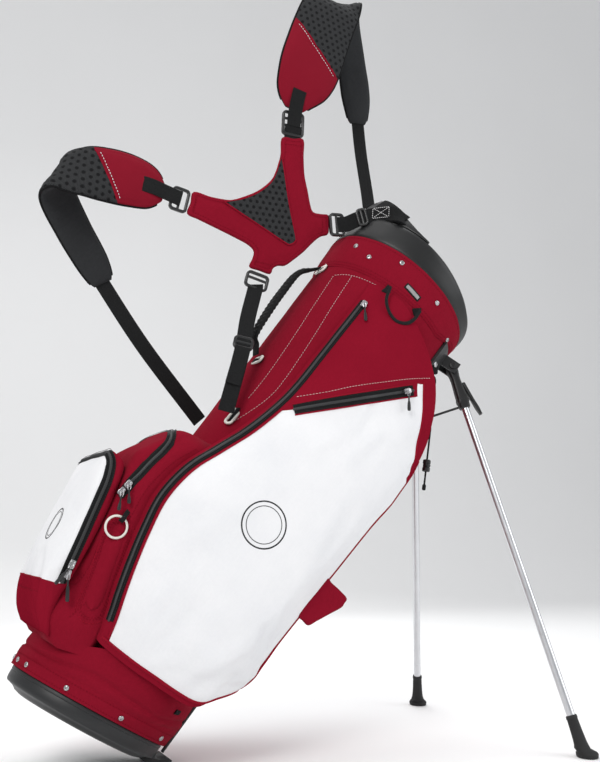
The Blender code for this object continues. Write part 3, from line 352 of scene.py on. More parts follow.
MAT = dict(
    crimson=fabric("crimson_weave", CRIMSON, CRIMSON_D),
    pocket=fabric("pocket_weave", WHITE, WHITE_D, pitch=0.0011, weave=0.10, rough=0.62, sheen=0.0, grain=0.05, second=(CRIMSON, CRIMSON_D)),
    white=fabric("white_weave", WHITE, WHITE_D, pitch=0.0011, weave=0.10, rough=0.62, sheen=0.0, grain=0.05, second=(CRIMSON, CRIMSON_D)),
    piping=fabric("crimson_piping", (0.27, 0.008, 0.022), CRIMSON_D, pitch=0.0009, rough=0.5),
    black_cloth=fabric("black_cloth", (0.0065, 0.0065, 0.007), (0.012, 0.012, 0.0125), pitch=0.0012, weave=0.30, rough=0.75, sheen=0.01),
    tape=fabric("zip_tape", (0.010, 0.0105, 0.011), (0.006, 0.006, 0.0065), pitch=0.0009, weave=0.25, rough=0.60, sheen=0.01),
    coil=plastic("zip_coil", (0.022, 0.023, 0.024), 0.40, 0.05),
    web=webbing_mat("black_webbing", (0.008, 0.0083, 0.0087), (0.022, 0.0225, 0.023)),
    mesh=mesh_mat("spacer_mesh"),
    pad=mesh_mat("pad_cover", second=(CRIMSON, CRIMSON_D)),
    black=plastic("black_moulding", (0.013, 0.0135, 0.014), 0.36, 0.10),
    gloss=plastic("gloss_buckle", (0.011, 0.0115, 0.012), 0.24, 0.05, coat=0.3),
    collar=plastic("collar_moulding", (0.0100, 0.0105, 0.011), 0.36, 0.12, coat=0.03),
    grey=plastic("grey_moulding", (0.040, 0.042, 0.045), 0.38, 0.12),
    base=plastic("base_moulding", (0.020, 0.021, 0.022), 0.38, 0.14),
    rubber=plastic("black_rubber", (0.015, 0.015, 0.0155), 0.62, 0.22),
    bone=plastic("off_white_moulding", (0.78, 0.76, 0.70), 0.38, 0.06, light=(0.86, 0.85, 0.80)),
    thread=fabric("pale_thread", (0.62, 0.45, 0.45), (0.50, 0.33, 0.34), pitch=0.0006, rough=0.6),
    thread_w=fabric("white_thread", (0.80, 0.80, 0.80), (0.62, 0.62, 0.62), pitch=0.0006, rough=0.6),
    thread_r=fabric("crimson_thread", (0.20, 0.006, 0.016), (0.14, 0.004, 0.012), pitch=0.0006, rough=0.6),
    thread_g=fabric("grey_thread", (0.030, 0.031, 0.033), (0.018, 0.018, 0.019), pitch=0.0006, rough=0.6),
    steel=metal("plated_steel", (0.46, 0.46, 0.47), 0.24, 0.10, (300.0, 300.0, 300.0)),
    alu=metal("satin_aluminium", (0.70, 0.71, 0.73), 0.27, 0.18),
    label=fabric("label_weave", (0.34, 0.34, 0.34), (0.22, 0.22, 0.22), pitch=0.0008, weave=0.3, rough=0.6),
    foam=fabric("lining_cloth", (0.030, 0.031, 0.033), (0.018, 0.019, 0.020), pitch=0.0016, weave=0.4, rough=0.85),
)


# ------------------------------------------------------------------ mesh helpers
def add(name, V, F, body, mat, M=BAG_M, rep=(), sharp=40, attrs=None, fmat=None, level=0, solid=True, clean=0.0):
    """A mesh piece from points in frame M. mat may be a list, with fmat giving each face's index."""
    me = bpy.data.meshes.new(name)
    me.from_pydata([tuple(M @ Vector(v)) for v in V], [], [tuple(f) for f in F])
    mats = mat if isinstance(mat, (list, tuple)) else [mat]
    for k in mats:
        me.materials.append(MAT[k])
    if fmat is not None:
        me.polygons.foreach_set("material_index", np.asarray(fmat, np.int32))
    for k, arr in (attrs or {}).items():
        arr = np.asarray(arr, np.float32)
        kind = "FLOAT" if arr.ndim == 1 else "FLOAT_VECTOR"
        a = me.attributes.new(k, kind, "POINT")
        a.data.foreach_set("value" if kind == "FLOAT" else "vector", arr.ravel())
    bm = bmesh.new()
    bm.from_mesh(me)
    if clean:
        bmesh.ops.remove_doubles(bm, verts=bm.verts[:], dist=clean)
    bmesh.ops.recalc_face_normals(bm, faces=bm.faces[:])
    if solid and bm.calc_volume(signed=True) < 0:
        bmesh.ops.reverse_faces(bm, faces=bm.faces[:])
    bm.to_mesh(me)
    bm.free()
    me.shade_smooth()
    if sharp:
        me.set_sharp_from_angle(angle=math.radians(sharp))
    ob = bpy.data.objects.new(name, me)
    bpy.context.scene.collection.objects.link(ob)
    if level:
        s = ob.modifiers.new("soft", "SUBSURF")
        s.levels = level
        s.render_levels = level
    if body:
        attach(ob, body)
    if rep:
        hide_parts(*rep)
    return ob


def catmull(P, ts, closed=False):
    P = np.asarray(P, float)
    k = len(P)
    out = []
    for t in ts:
        s = int(math.floor(t))
        if not closed:
            s = min(max(s, 0), k - 2)
        f = t - s
        if closed:
            p0, p1, p2, p3 = P[(s - 1) % k], P[s % k], P[(s + 1) % k], P[(s + 2) % k]
        else:
            p1, p2 = P[s], P[s + 1]
            p0 = P[s - 1] if s > 0 else 2 * p1 - p2
            p3 = P[s + 2] if s + 2 < k else 2 * p2 - p1
        out.append(0.5 * (2 * p1 + (p2 - p0) * f + (2 * p0 - 5 * p1 + 4 * p2 - p3) * f * f + (3 * p1 - p0 - 3 * p2 + p3) * f ** 3))
    return np.array(out)


def spline(P, n, closed=False):
    """n points evenly spaced along a smooth curve through P."""
    k = len(P)
    m = k if closed else k - 1
    Q = catmull(P, np.linspace(0, m, m * 24 + 1), closed)
    L = np.concatenate([[0], np.cumsum(np.linalg.norm(np.diff(Q, axis=0), axis=1))])
    s = np.linspace(0, L[-1], n + 1)[:-1] if closed else np.linspace(0, L[-1], n)
    return np.stack([np.interp(s, L, Q[:, d]) for d in range(Q.shape[1])], 1)


def length(P):
    return float(np.linalg.norm(np.diff(np.asarray(P), axis=0), axis=1).sum())


def unit(v):
    v = np.asarray(v, float)
    return v / max(1e-12, np.linalg.norm(v))


def rr_loop(c, a, b, ha, hb, r, k=3, side=(1, 1)):
    """A rounded rectangle in the plane of a and b: half sizes ha, hb, corner radius r, k segments a corner."""
    c, a, b = np.asarray(c, float), np.asarray(a, float), np.asarray(b, float)
    r = min(r, ha * 0.98, hb * 0.98)
    pts = []
    corners = [(1, 1, 0), (-1, 1, 90), (-1, -1, 180), (1, -1, 270)]
    for q, (sx, sy, a0) in enumerate(corners):
        cc = c + a * sx * (ha - r) + b * sy * (hb - r)
        arc = [cc + a * r * math.cos(math.radians(a0 + 90 * i / k)) + b * r * math.sin(math.radians(a0 + 90 * i / k)) for i in range(k + 1)]
        pts += arc
        nxt = corners[(q + 1) % 4]
        e = c + a * nxt[0] * (ha - r) + b * nxt[1] * (hb - r)
        e = e + a * r * math.cos(math.radians(nxt[2])) + b * r * math.sin(math.radians(nxt[2]))
        n = side[0] if q in (0, 2) else side[1]
        for j in range(1, n):
            pts.append(arc[-1] + (e - arc[-1]) * j / n)
    return pts


def loft_data(rings, cap=True, closed=False):
    n = len(rings[0])
    V = [tuple(p) for ring in rings for p in ring]
    F = []
    m = len(rings)
    for i in range(m if closed else m - 1):
        a, b = i * n, ((i + 1) % m) * n
        for j in range(n):
            k = (j + 1) % n
            F.append((a + j, a + k, b + k, b + j))
    if cap and not closed:
        for i, rev in ((0, True), (m - 1, False)):
            ring = np.array(rings[i], float)
            c = ring.mean(0)
            prev = list(range(i * n, i * n + n))
            for s in (0.6,):
                start = len(V)
                V += [tuple(c + (p - c) * s) for p in ring]
                cur = list(range(start, start + n))
                for j in range(n):
                    k = (j + 1) % n
                    F.append((prev[k], prev[j], cur[j], cur[k]) if rev else (prev[j], prev[k], cur[k], cur[j]))
                prev = cur
            V.append(tuple(c))
            t = len(V) - 1
            for j in range(n):
                k = (j + 1) % n
                F.append((prev[k], prev[j], t) if rev else (prev[j], prev[k], t))
    return V, F


def loft(name, rings, body, mat, M=BAG_M, closed=False, **k):
    V, F = loft_data(rings, closed=closed)
    return add(name, V, F, body, mat, M, **k)


def frames(P, hint=None, normals=None):
    """Tangent, normal and side at each point of a path."""
    P = np.asarray(P, float)
    T = np.gradient(P, axis=0)
    T /= np.maximum(1e-12, np.linalg.norm(T, axis=1))[:, None]
    out = []
    n = None
    for i, t in enumerate(T):
        if normals is not None:
            h = np.asarray(normals[i], float)
        elif hint is not None:
            h = np.asarray(hint, float)
        else:
            h = n if n is not None else (np.array([0, 0, 1.0]) if abs(t[2]) < 0.9 else np.array([1.0, 0, 0]))
        n = unit(h - t * (h @ t))
        out.append((t, n, np.cross(t, n)))
    return out


def tube_data(P, r, seg=8, closed=False, squash=1.0, normals=None, rfun=None, round_end=True):
    P = np.asarray(P, float)
    if closed:
        Q = np.vstack([P[-1], P, P[0]])
        fr = frames(Q, normals=None if normals is None else np.vstack([normals[-1], normals, normals[0]]))[1:-1]
        if normals is None:
            fr = frames(Q, hint=None)[1:-1]
    else:
        fr = frames(P, normals=normals)
    rings = []
    for i, (p, (t, n, s)) in enumerate(zip(P, fr)):
        rr = r * (rfun(i) if rfun else 1.0)
        rings.append([p + (n * math.sin(2 * math.pi * j / seg) * squash + s * math.cos(2 * math.pi * j / seg)) * rr for j in range(seg)])
    if not closed and round_end:
        t0, t1 = fr[0][0], fr[-1][0]
        first = [(np.array(q) - P[0]) * 0.72 + P[0] - t0 * r * 0.55 for q in rings[0]]
        last = [(np.array(q) - P[-1]) * 0.72 + P[-1] + t1 * r * 0.55 for q in rings[-1]]
        rings = [first] + rings + [last]
    return loft_data(rings, closed=closed)


def tube(name, P, r, body, mat, M=BAG_M, seg=8, closed=False, squash=1.0, normals=None, rfun=None, **k):
    V, F = tube_data(P, r, seg, closed, squash, normals, rfun)
    return add(name, V, F, body, mat, M, **k)


def join(parts):
    V, F = [], []
    for v, f in parts:
        n = len(V)
        V += list(v)
        F += [tuple(i + n for i in q) for q in f]
    return V, F


def revolve_data(profile, c, axis, x_dir, seg=20):
    """A closed turned piece: profile is (radius, height) from the bottom centre to the top centre."""
    c, z = np.asarray(c, float), unit(axis)
    x = np.asarray(x_dir, float)
    x = unit(x - z * (x @ z))
    y = np.cross(z, x)
    rings = [[c + z * h + (x * math.cos(2 * math.pi * j / seg) + y * math.sin(2 * math.pi * j / seg)) * max(r, 1e-5) for j in range(seg)]
             for r, h in profile]
    return loft_data(rings)


def puffy(outline, hfun, plane, grid=0.006, insets=(0.0006, 0.0018, 0.0036, 0.0065), back=0.5, clear=0.009):
    """A closed pad from a flat outline: hfun(u, v, d) is its half thickness at distance d from the edge; plane maps (u, v, h) to a point."""
    out = np.asarray(outline, float)
    n = len(out)
    area = 0.5 * sum(out[i][0] * out[(i + 1) % n][1] - out[(i + 1) % n][0] * out[i][1] for i in range(n))
    if area < 0:
        out = out[::-1].copy()
    t = np.roll(out, -1, 0) - np.roll(out, 1, 0)
    t /= np.maximum(1e-12, np.linalg.norm(t, axis=1))[:, None]
    inward = np.stack([-t[:, 1], t[:, 0]], 1)

    def dist(p):
        a, b = out, np.roll(out, -1, 0)
        ab = b - a
        s = np.clip(((p - a) * ab).sum(1) / np.maximum(1e-12, (ab * ab).sum(1)), 0, 1)
        return float(np.linalg.norm(a + ab * s[:, None] - p, axis=1).min())

    def inside(p):
        c = False
        for i in range(n):
            (x0, y0), (x1, y1) = out[i], out[(i + 1) % n]
            if (y0 > p[1]) != (y1 > p[1]) and p[0] < (x1 - x0) * (p[1] - y0) / (y1 - y0) + x0:
                c = not c
        return c
    pts = [Vector(p) for p in out]
    edges = [(i, (i + 1) % n) for i in range(n)]
    for ins in insets:
        for p, w in zip(out, inward):
            q = p + w * ins
            if inside(q) and dist(q) > ins * 0.86:
                pts.append(Vector(q))
    lo, hi = out.min(0), out.max(0)
    row = 0
    y = lo[1] + grid * 0.5
    while y < hi[1]:
        x = lo[0] + (grid * 0.5 if row % 2 else 0.0)
        while x < hi[0]:
            q = np.array([x, y])
            if inside(q) and dist(q) > clear:
                pts.append(Vector(q))
            x += grid
        y += grid * 0.87
        row += 1
    vv, ee, ff = delaunay_2d_cdt(pts, edges, [], 1, 1e-7)[:3]
    flat = [np.array(v) for v in vv]
    ds = [dist(p) for p in flat]
    rim = [d < 1e-5 for d in ds]
    V = [plane(p[0], p[1], 0.0 if r else hfun(p[0], p[1], d)) for p, d, r in zip(flat, ds, rim)]
    idx = {}
    UV = [(p[0], p[1], 0.0) for p in flat]
    for i, (p, d, r) in enumerate(zip(flat, ds, rim)):
        if r:
            idx[i] = i
        else:
            idx[i] = len(V)
            V.append(plane(p[0], p[1], -back * abs(hfun(p[0], p[1], d))))
            UV.append((p[0], p[1], 0.0))
    F = [tuple(f) for f in ff] + [tuple(idx[i] for i in reversed(f)) for f in ff]
    F = [f for f in F if len(set(f)) > 2]
    return V, F, np.array(UV), len(ff)


def edge_round(d, r, t):
    """Height of a rounded edge: 0 at the rim, t once d passes r."""
    k = min(1.0, d / r)
    return t * math.sqrt(max(0.0, 1 - (1 - k) ** 2))


def bvh_of(*obs):
    V, F = [], []
    for o in obs:
        n = len(V)
        V += [o.matrix_world @ v.co for v in o.data.vertices]
        F += [[i + n for i in p.vertices] for p in o.data.polygons]
    return BVHTree.FromPolygons(V, F)


def cast(tree, p, d, M=BAG_M):
    """Where a ray from p along d (frame M) first meets the surface; world point and normal."""
    q, n, _, _ = tree.ray_cast(M @ Vector(p), (M.to_3x3() @ Vector(d)).normalized())
    return q, n


def lay(tree, pts, d=(0, 1, 0), M=BAG_M, back=0.25, n=None, closed=False, step=0.004):
    """A smooth path dropped on a surface: world points and their normals."""
    pts = np.asarray(pts, float)
    n = n or max(8, int(length(pts) / step))
    P = spline(pts, n, closed)
    d = unit(d)
    W, N = [], []
    for p in P:
        q, nn = cast(tree, p - d * back, d, M)
        if q is None:
            q, nn, _, _ = tree.find_nearest(M @ Vector(p))
        W.append(np.array(q))
        N.append(np.array(nn))
    N = np.array(N)
    if len(N) > 4:
        for _ in range(3):
            S = N.copy()
            S[1:-1] = (N[:-2] + N[1:-1] * 2 + N[2:]) / 4
            N = S / np.linalg.norm(S, axis=1)[:, None]
        W = np.array(W)
        for _ in range(1):
            S = W.copy()
            S[1:-1] = (W[:-2] + W[1:-1] * 2 + W[2:]) / 4
            W = S
    return np.array(W), N


def tape(name, W, N, width, tree, body, mat, lift=0.0004, thick=0.0009, nx=8, crown=0.0, attrs=True, **k):
    """A flat band that hugs the surface of tree along world points W."""
    fr = frames(W, normals=N)
    top, bot, uv = [], [], []
    run = 0.0
    for i, (p, (t, n, s)) in enumerate(zip(W, fr)):
        if i:
            run += float(np.linalg.norm(W[i] - W[i - 1]))
        a, b, c = [], [], []
        w = width(i / (len(W) - 1)) if callable(width) else width
        for j in range(nx + 1):
            f = 2 * j / nx - 1
            q = p + s * f * w / 2
            hit, hn, _, _ = tree.find_nearest(Vector(q + n * 0.002))
            h = np.array(hit) if hit is not None else q
            hn = n if hit is None or Vector(hn).dot(Vector(n)) < 0.35 else unit(np.array(hn) * 0.5 + n * 0.5)
            e = 1.0 if abs(f) < 0.999 else 0.35
            a.append(h + hn * (lift + thick * e + crown * (1 - f * f)))
            b.append(h - hn * 0.0012)
            c.append((f * w / 2, run, 0.0))
        top.append(a)
        bot.append(b[::-1])
        uv.append(c + c[::-1])
    rings = [a + b for a, b in zip(top, bot)]
    V, F = loft_data(rings)
    U = [q for row in uv for q in row]
    while len(U) < len(V):
        U.append((0.0, 0.0, 0.0))
    return add(name, V, F, body, mat, WORLD_M, attrs={"uvm": U} if attrs else None, **k)


def dashes(W, N, dash=0.0030, gap=0.0014, r=0.00042, lift=0.0004):
    """Stitches along a laid path, as small closed lozenges."""
    W = np.asarray(W)
    L = np.concatenate([[0], np.cumsum(np.linalg.norm(np.diff(W, axis=0), axis=1))])
    parts = []
    s = gap
    at = lambda x, A: np.array([np.interp(x, L, A[:, d]) for d in range(3)])
    while s + dash < L[-1]:
        p0, p1 = at(s, W), at(s + dash, W)
        n = unit(at(s + dash / 2, N))
        t = unit(p1 - p0)
        n = unit(n - t * (n @ t))
        b = np.cross(t, n)
        m0, m1 = p0 + t * dash * 0.22 + n * (lift + r * 0.6), p1 - t * dash * 0.22 + n * (lift + r * 0.6)
        V = [tuple(p0)]
        for c in (m0, m1):
            V += [tuple(c + b * r), tuple(c + n * r), tuple(c - b * r), tuple(c - n * r)]
        V.append(tuple(p1))
        F = [(0, 1 + (j + 1) % 4, 1 + j) for j in range(4)] + [(1 + j, 1 + (j + 1) % 4, 5 + (j + 1) % 4, 5 + j) for j in range(4)] + \
            [(9, 5 + j, 5 + (j + 1) % 4) for j in range(4)]
        parts.append((V, F))
        s += dash + gap
    return parts


def stitch(name, paths, body, mat, **k):
    parts = []
    for W, N in paths:
        parts += dashes(W, N, **k)
    V, F = join(parts)
    return add(name, V, F, body, mat, WORLD_M, sharp=60)


def offset(W, N, side, lift=0.0):
    """The laid path moved sideways along the surface."""
    fr = frames(W, normals=N)
    return np.array([p + s * side + n * lift for p, (t, n, s) in zip(W, fr)])


# ------------------------------------------------------------------ body tube, pockets and cuffs
def ell(z, phi, off=0.0):
    return np.array([(tube_a(z) + off) * math.cos(phi), (tube_b(z) + off) * math.sin(phi), z])


def build_tube():
    zs = np.linspace(0.0665, 0.8285, 90)
    n = 96
    V, F = [], []
    for sgn, off in ((1, 0.0), (0, -0.003)):
        for z in (zs if sgn else zs[::-1]):
            for j in range(n):
                phi = 2 * math.pi * j / n
                o = off
                if sgn:
                    o += 0.0007 * nz(math.cos(phi), math.sin(phi), z * 9, 1.6, 3.1) + 0.0004 * nz(math.cos(phi) * 3, math.sin(phi) * 3, z * 30, 1.0, 8.0)
                V.append(ell(z, phi, o))
    m = 2 * len(zs)
    for i in range(m):
        a, b = i * n, ((i + 1) % m) * n
        for j in range(n):
            k = (j + 1) % n
            F.append((a + j, a + k, b + k, b + j))
    return add("body_tube_cloth", V, F, "bag", "crimson", rep=("body_tube",), sharp=50)


TUBE = build_tube()

ZIP_C = [(0.080, -0.0725), (0.116, -0.081), (0.156, -0.096), (0.196, -0.109), (0.238, -0.121), (0.290, -0.1315), (0.345, -0.1265), (0.394, -0.109),
         (0.449, -0.0895), (0.509, -0.0755), (0.554, -0.0706), (0.606, -0.0690), (0.669, -0.0672), (0.725, -0.0655), (0.775, -0.0640)]
ZC = spline(np.array(ZIP_C), 180)


def zip_centre(z):
    return float(np.interp(z, ZC[:, 0], ZC[:, 1]))


def zip_edge(z):
    return zip_centre(z) - 0.0078


def belly_edge(z):
    return 0.137 + (z - 0.187) * 0.082


S_BOTTOM = (0.092, 0.088, 0.086, 0.087, 0.094, 0.118, 0.148, 0.156, 0.152)
S_TOP = (0.768, 0.772, 0.773, 0.768, 0.728, 0.642, 0.600, 0.606, 0.612)
S_ANGLE = (124, 118, 106, 92, 66, 52, 43, 38, 34)
TOP_ZIP = [(-0.100, 0.470), (-0.060, 0.507), (-0.034, 0.537), (0.015, 0.5935), (0.064, 0.650), (0.080, 0.666), (0.140, 0.700)]


def fold(x, z, x0, z0, ang, length_, width, amp):
    """A soft crease: a ridge with a lee hollow, long along ang (degrees from +z towards +x)."""
    a = math.radians(ang)
    u = (x - x0) * math.sin(a) + (z - z0) * math.cos(a)
    v = (x - x0) * math.cos(a) - (z - z0) * math.sin(a)
    k = math.exp(-(u / length_) ** 2)
    return amp * k * (math.exp(-(v / width) ** 2) - 0.55 * math.exp(-((v - 1.7 * width) / (width * 1.2)) ** 2))


FOLDS = [(0.030, 0.560, -14, 0.050, 0.0090, 0.0034), (0.058, 0.535, 10, 0.060, 0.0100, 0.0036), (0.004, 0.500, 24, 0.045, 0.0110, 0.0030),
         (-0.082, 0.330, 4, 0.070, 0.0110, 0.0038), (-0.066, 0.270, 10, 0.055, 0.0120, 0.0044), (-0.055, 0.170, -18, 0.050, 0.0110, 0.0038),
         (0.060, 0.150, 32, 0.055, 0.0120, 0.0050), (0.090, 0.210, 20, 0.060, 0.0130, 0.0040), (0.020, 0.125, 58, 0.045, 0.0100, 0.0033),
         (0.085, 0.400, -6, 0.080, 0.0140, 0.0032), (-0.040, 0.640, 22, 0.060, 0.0160, 0.0007)]


def pocket_point(i, w, sgn):
    """A point on the pocket's skin: i 0..8 round it from the zip edge to the belly, w 0..1 up it."""
    zb = float(catmull(np.array(S_BOTTOM)[:, None], [i])[0, 0])
    zt = float(catmull(np.array(S_TOP)[:, None], [i])[0, 0])
    z = zb + (zt - zb) * w
    xl, xr = zip_edge(z), belly_edge(z)
    q = np.array([(xl, .1065), (xl + .0088, .1215), (xl + .0430, .1425), (0.0, .1505), (.078, .1500), (xr - .026, .1405), (xr, .120),
                  (xr - .006, .098), (xr - .020, .0785)])
    q = catmull(q, [i])[0]
    phi = math.radians(float(catmull(np.array(S_ANGLE, float)[:, None], [i])[0, 0]))
    t = np.array([(tube_a(z) + 0.0008) * math.cos(phi), (tube_b(z) + 0.0008) * math.sin(phi)])
    full = table([(0.0, 0.80), (0.03, 0.93), (0.07, 1.0)], w) if w < 0.5 else 1.0
    left = table([(0.44, 1.0), (0.55, 0.93), (0.62, 0.80), (0.70, 0.64), (0.735, 0.50), (0.755, 0.32), (0.772, 0.10)], z)
    mid_ = table([(0.60, 1.0), (0.655, 0.985), (0.70, 0.86), (0.735, 0.62), (0.755, 0.40), (0.773, 0.13)], z)
    hi5 = left + (mid_ - left) * smooth(0.9, 2.2, i)
    hi9 = table([(0.0, 1.0), (0.80, 1.0), (0.93, 0.95), (1.0, 0.86)], w)
    high = hi5 + (hi9 - hi5) * smooth(3.9, 5.1, i)
    p = t + (q - t) * full * high
    x, y = p
    out = unit(p - t + 1e-6)
    if 0.4 < i < 8:
        d = 0.0018 * nz(x, sgn * 0.3, z, 11.0, 4.0) + 0.0008 * nz(x, sgn * 0.3, z, 30.0, 9.0)
        for x0, z0, ang, ln, wd, amp in FOLDS:
            d += fold(x, z, x0, z0, ang, ln, wd, amp) * (1.0 if sgn < 0 else 0.9)
        edge = smooth(0.4, 1.5, i) * (1 - smooth(5.4, 6.2, i) * 0.8) * smooth(0, 0.06, w) * (1 - smooth(0.93, 1.0, w))
        p = p + out * d * edge
    return np.array([p[0], sgn * p[1], z])


def zip_line_side(x, z):
    """Signed distance above the top zip line (positive is above)."""
    best, sgn = 9.0, 1.0
    for (x0, z0), (x1, z1) in zip(TOP_ZIP, TOP_ZIP[1:]):
        dx, dz = x1 - x0, z1 - z0
        s = min(1.0, max(0.0, ((x - x0) * dx + (z - z0) * dz) / (dx * dx + dz * dz)))
        px, pz = x0 + dx * s, z0 + dz * s
        d = math.hypot(x - px, z - pz)
        if d < best:
            best = d
            sgn = 1.0 if (dx * (z - z0) - dz * (x - x0)) > 0 else -1.0
    return best * sgn


TRIM = [(0.3300, 0.4672), (0.3531, 0.4701), (0.3838, 0.4743), (0.4149, 0.4787), (0.4461, 0.4829), (0.4866, 0.4857), (0.6000, 0.4870)]
C38, S38 = math.cos(math.radians(38)), math.sin(math.radians(38))


def crimson_side(x, z):
    """Above zero where the side pocket is crimson: over the top zip, on the tab past its end and on the belly side of the trim."""
    a, b = x * C38 + z * S38, z * C38 - x * S38
    k = max(min(zip_line_side(x, z), 0.4728 - a), min(b - 0.4650, 0.4728 - a, a - 0.4520), b - 0.4866)
    if b > 0.3300:
        k = max(k, a - table(TRIM, b))
    return k


def build_pocket(side, sgn):
    NI, NW = 84, 120
    outer, inner, split, pin = [], [], [], []
    for b in range(NW + 1):
        w = b / NW
        for a in range(NI + 1):
            i = 8.0 * a / NI
            p = pocket_point(i, w, sgn)
            outer.append(p)
            s = max(crimson_side(p[0], p[2]), (1.26 + 0.07 * math.exp(-((p[2] - 0.294) / 0.07) ** 2) - i) * 0.03, (i - 6.15) * 0.02, (0.0125 - w) * 0.6)
            split.append(s)
            pin.append(a < 3 or a > NI - 3 or b < 3 or b > NW - 3)
    for b in range(NW + 1):
        w = b / NW
        for a in range(NI + 1):
            i = 8.0 * a / NI
            z = outer[b * (NI + 1) + a][2]
            phi = math.radians(float(catmull(np.array(S_ANGLE, float)[:, None], [i])[0, 0]))
            inner.append(ell(z, phi * sgn, -0.0012))
            split.append(0.01)
            pin.append(True)
    n = NI + 1
    N0 = len(outer)
    V = outer + inner
    F = []
    for b in range(NW):
        for a in range(NI):
            q = b * n + a
            F.append((q, q + 1, q + n + 1, q + n))
            F.append((N0 + q, N0 + q + n, N0 + q + n + 1, N0 + q + 1))
    for a in range(NI):
        F.append((a, N0 + a, N0 + a + 1, a + 1))
        q = NW * n + a
        F.append((q, q + 1, N0 + q + 1, N0 + q))
    for b in range(NW):
        q = b * n
        F.append((q, q + n, N0 + q + n, N0 + q))
        q = b * n + NI
        F.append((q, N0 + q, N0 + q + n, q + n))
    ob = add("garment_pocket_cloth_" + side, V, F, "bag", "pocket", rep=("garment_pocket_" + side,), sharp=60, attrs={"split": split})
    return ob, pin


POCKET_N, PIN_N = build_pocket("near", -1)
POCKET_F, PIN_F = build_pocket("far", 1)


def build_accessory():
    """Saddle-shaped pocket round the spine, from one garment pocket's edge to the other."""
    front = [(-0.1240, 0.0520), (-0.1360, 0.0580), (-0.1450, 0.0700), (-0.1490, 0.0840), (-0.1500, 0.0970), (-0.1505, 0.1090), (-0.1515, 0.1250),
             (-0.1560, 0.1600), (-0.1640, 0.2000), (-0.1720, 0.2350), (-0.1820, 0.2700), (-0.1900, 0.3050), (-0.1915, 0.3240), (-0.1820, 0.3450),
             (-0.1730, 0.3640), (-0.1650, 0.3860), (-0.1500, 0.4010), (-0.1320, 0.4080)]
    Fp = spline(np.array(front), 84)
    rows = []
    NS, NFR, K = 20, 26, 7
    for k, (xf, zf) in enumerate(Fp):
        u = k / (len(Fp) - 1)
        zs = 0.0780 + (0.398 - 0.0780) * u                 # height of the same row at the garment pocket's edge
        zs = zs + (zf - zs) * 0.55
        xs = zip_edge(zs) + 0.004
        ys = 0.1060 - 0.002 * smooth(0.7, 1, u)
        ys = min(ys, 0.1085)
        top = smooth(0.84, 1.0, u)
        bot = 1 - smooth(0.0, 0.10, u)
        half = 0.099 - 0.016 * top - 0.010 * bot
        r = 0.016
        pts = []
        for sgn in (-1, 1):
            side = []
            # from the garment edge to the corner, then round the corner to the front
            e = np.array([xs, sgn * ys, zs])
            c0 = np.array([xf + r, sgn * half, zf])
            for j in range(NS):
                f = j / (NS - 1)
                p = e + (c0 - e) * f
                puff = 0.0045 * math.sin(math.pi * f) * (1 - bot) * (1 - top)
                p[1] += sgn * puff
                side.append(p)
            for j in range(1, K + 1):
                a = math.radians(90 * j / K)
                side.append(np.array([xf + r - r * math.sin(a), sgn * (half - r + r * math.cos(a)), zf]))
            if sgn < 0:
                pts += side
            else:
                back = side[::-1]
                for j in range(1, NFR):
                    f = j / NFR
                    y = -(half - r) + 2 * (half - r) * f
                    crown = 0.004 * (1 - (2 * f - 1) ** 2) * (1 - bot)
                    pts.append(np.array([xf - crown, y, zf]))
                pts += back
        inner = []
        for p in pts[::-1]:
            z = p[2]
            phi = math.atan2(p[1] / tube_b(z), p[0] / tube_a(z))
            inner.append(ell(z, phi, -0.0012))
        ring = []
        for p in pts:
            z = p[2]
            phi = math.atan2(p[1] / tube_b(z), p[0] / tube_a(z))
            t = ell(z, phi, 0.0006)
            rr = math.hypot(p[0] / (tube_a(z) + 0.0006), p[1] / (tube_b(z) + 0.0006))
            if rr < 1.0:
                p = t
            q = p + (t - p) * (top ** 3) * 0.9
            d = 0.0009 * nz(q[0], q[1], q[2], 16.0, 2.0) + 0.0005 * nz(q[0], q[1], q[2], 45.0, 6.0)
            dirn = unit(np.array([p[0], p[1], 0.0]) - np.array([t[0] * 0.9, t[1] * 0.9, 0.0]))
            ring.append(q + dirn * d * (1 - top))
        rows.append(ring + inner)
    V, F = loft_data(rows)
    return add("accessory_pocket_cloth", V, F, "bag", "crimson", rep=("accessory_pocket",), sharp=60)


ACC = build_accessory()


BALL_ZIP = [(0.1160, -0.1590), (0.1330, -0.1630), (0.1471, -0.1672), (0.1767, -0.1750), (0.2162, -0.1862), (0.2607, -0.1985), (0.2800, -0.2070), (0.2890, -0.2165), (0.2945, -0.2400)]


def ball_zip_x(z):
    return table(BALL_ZIP, z)


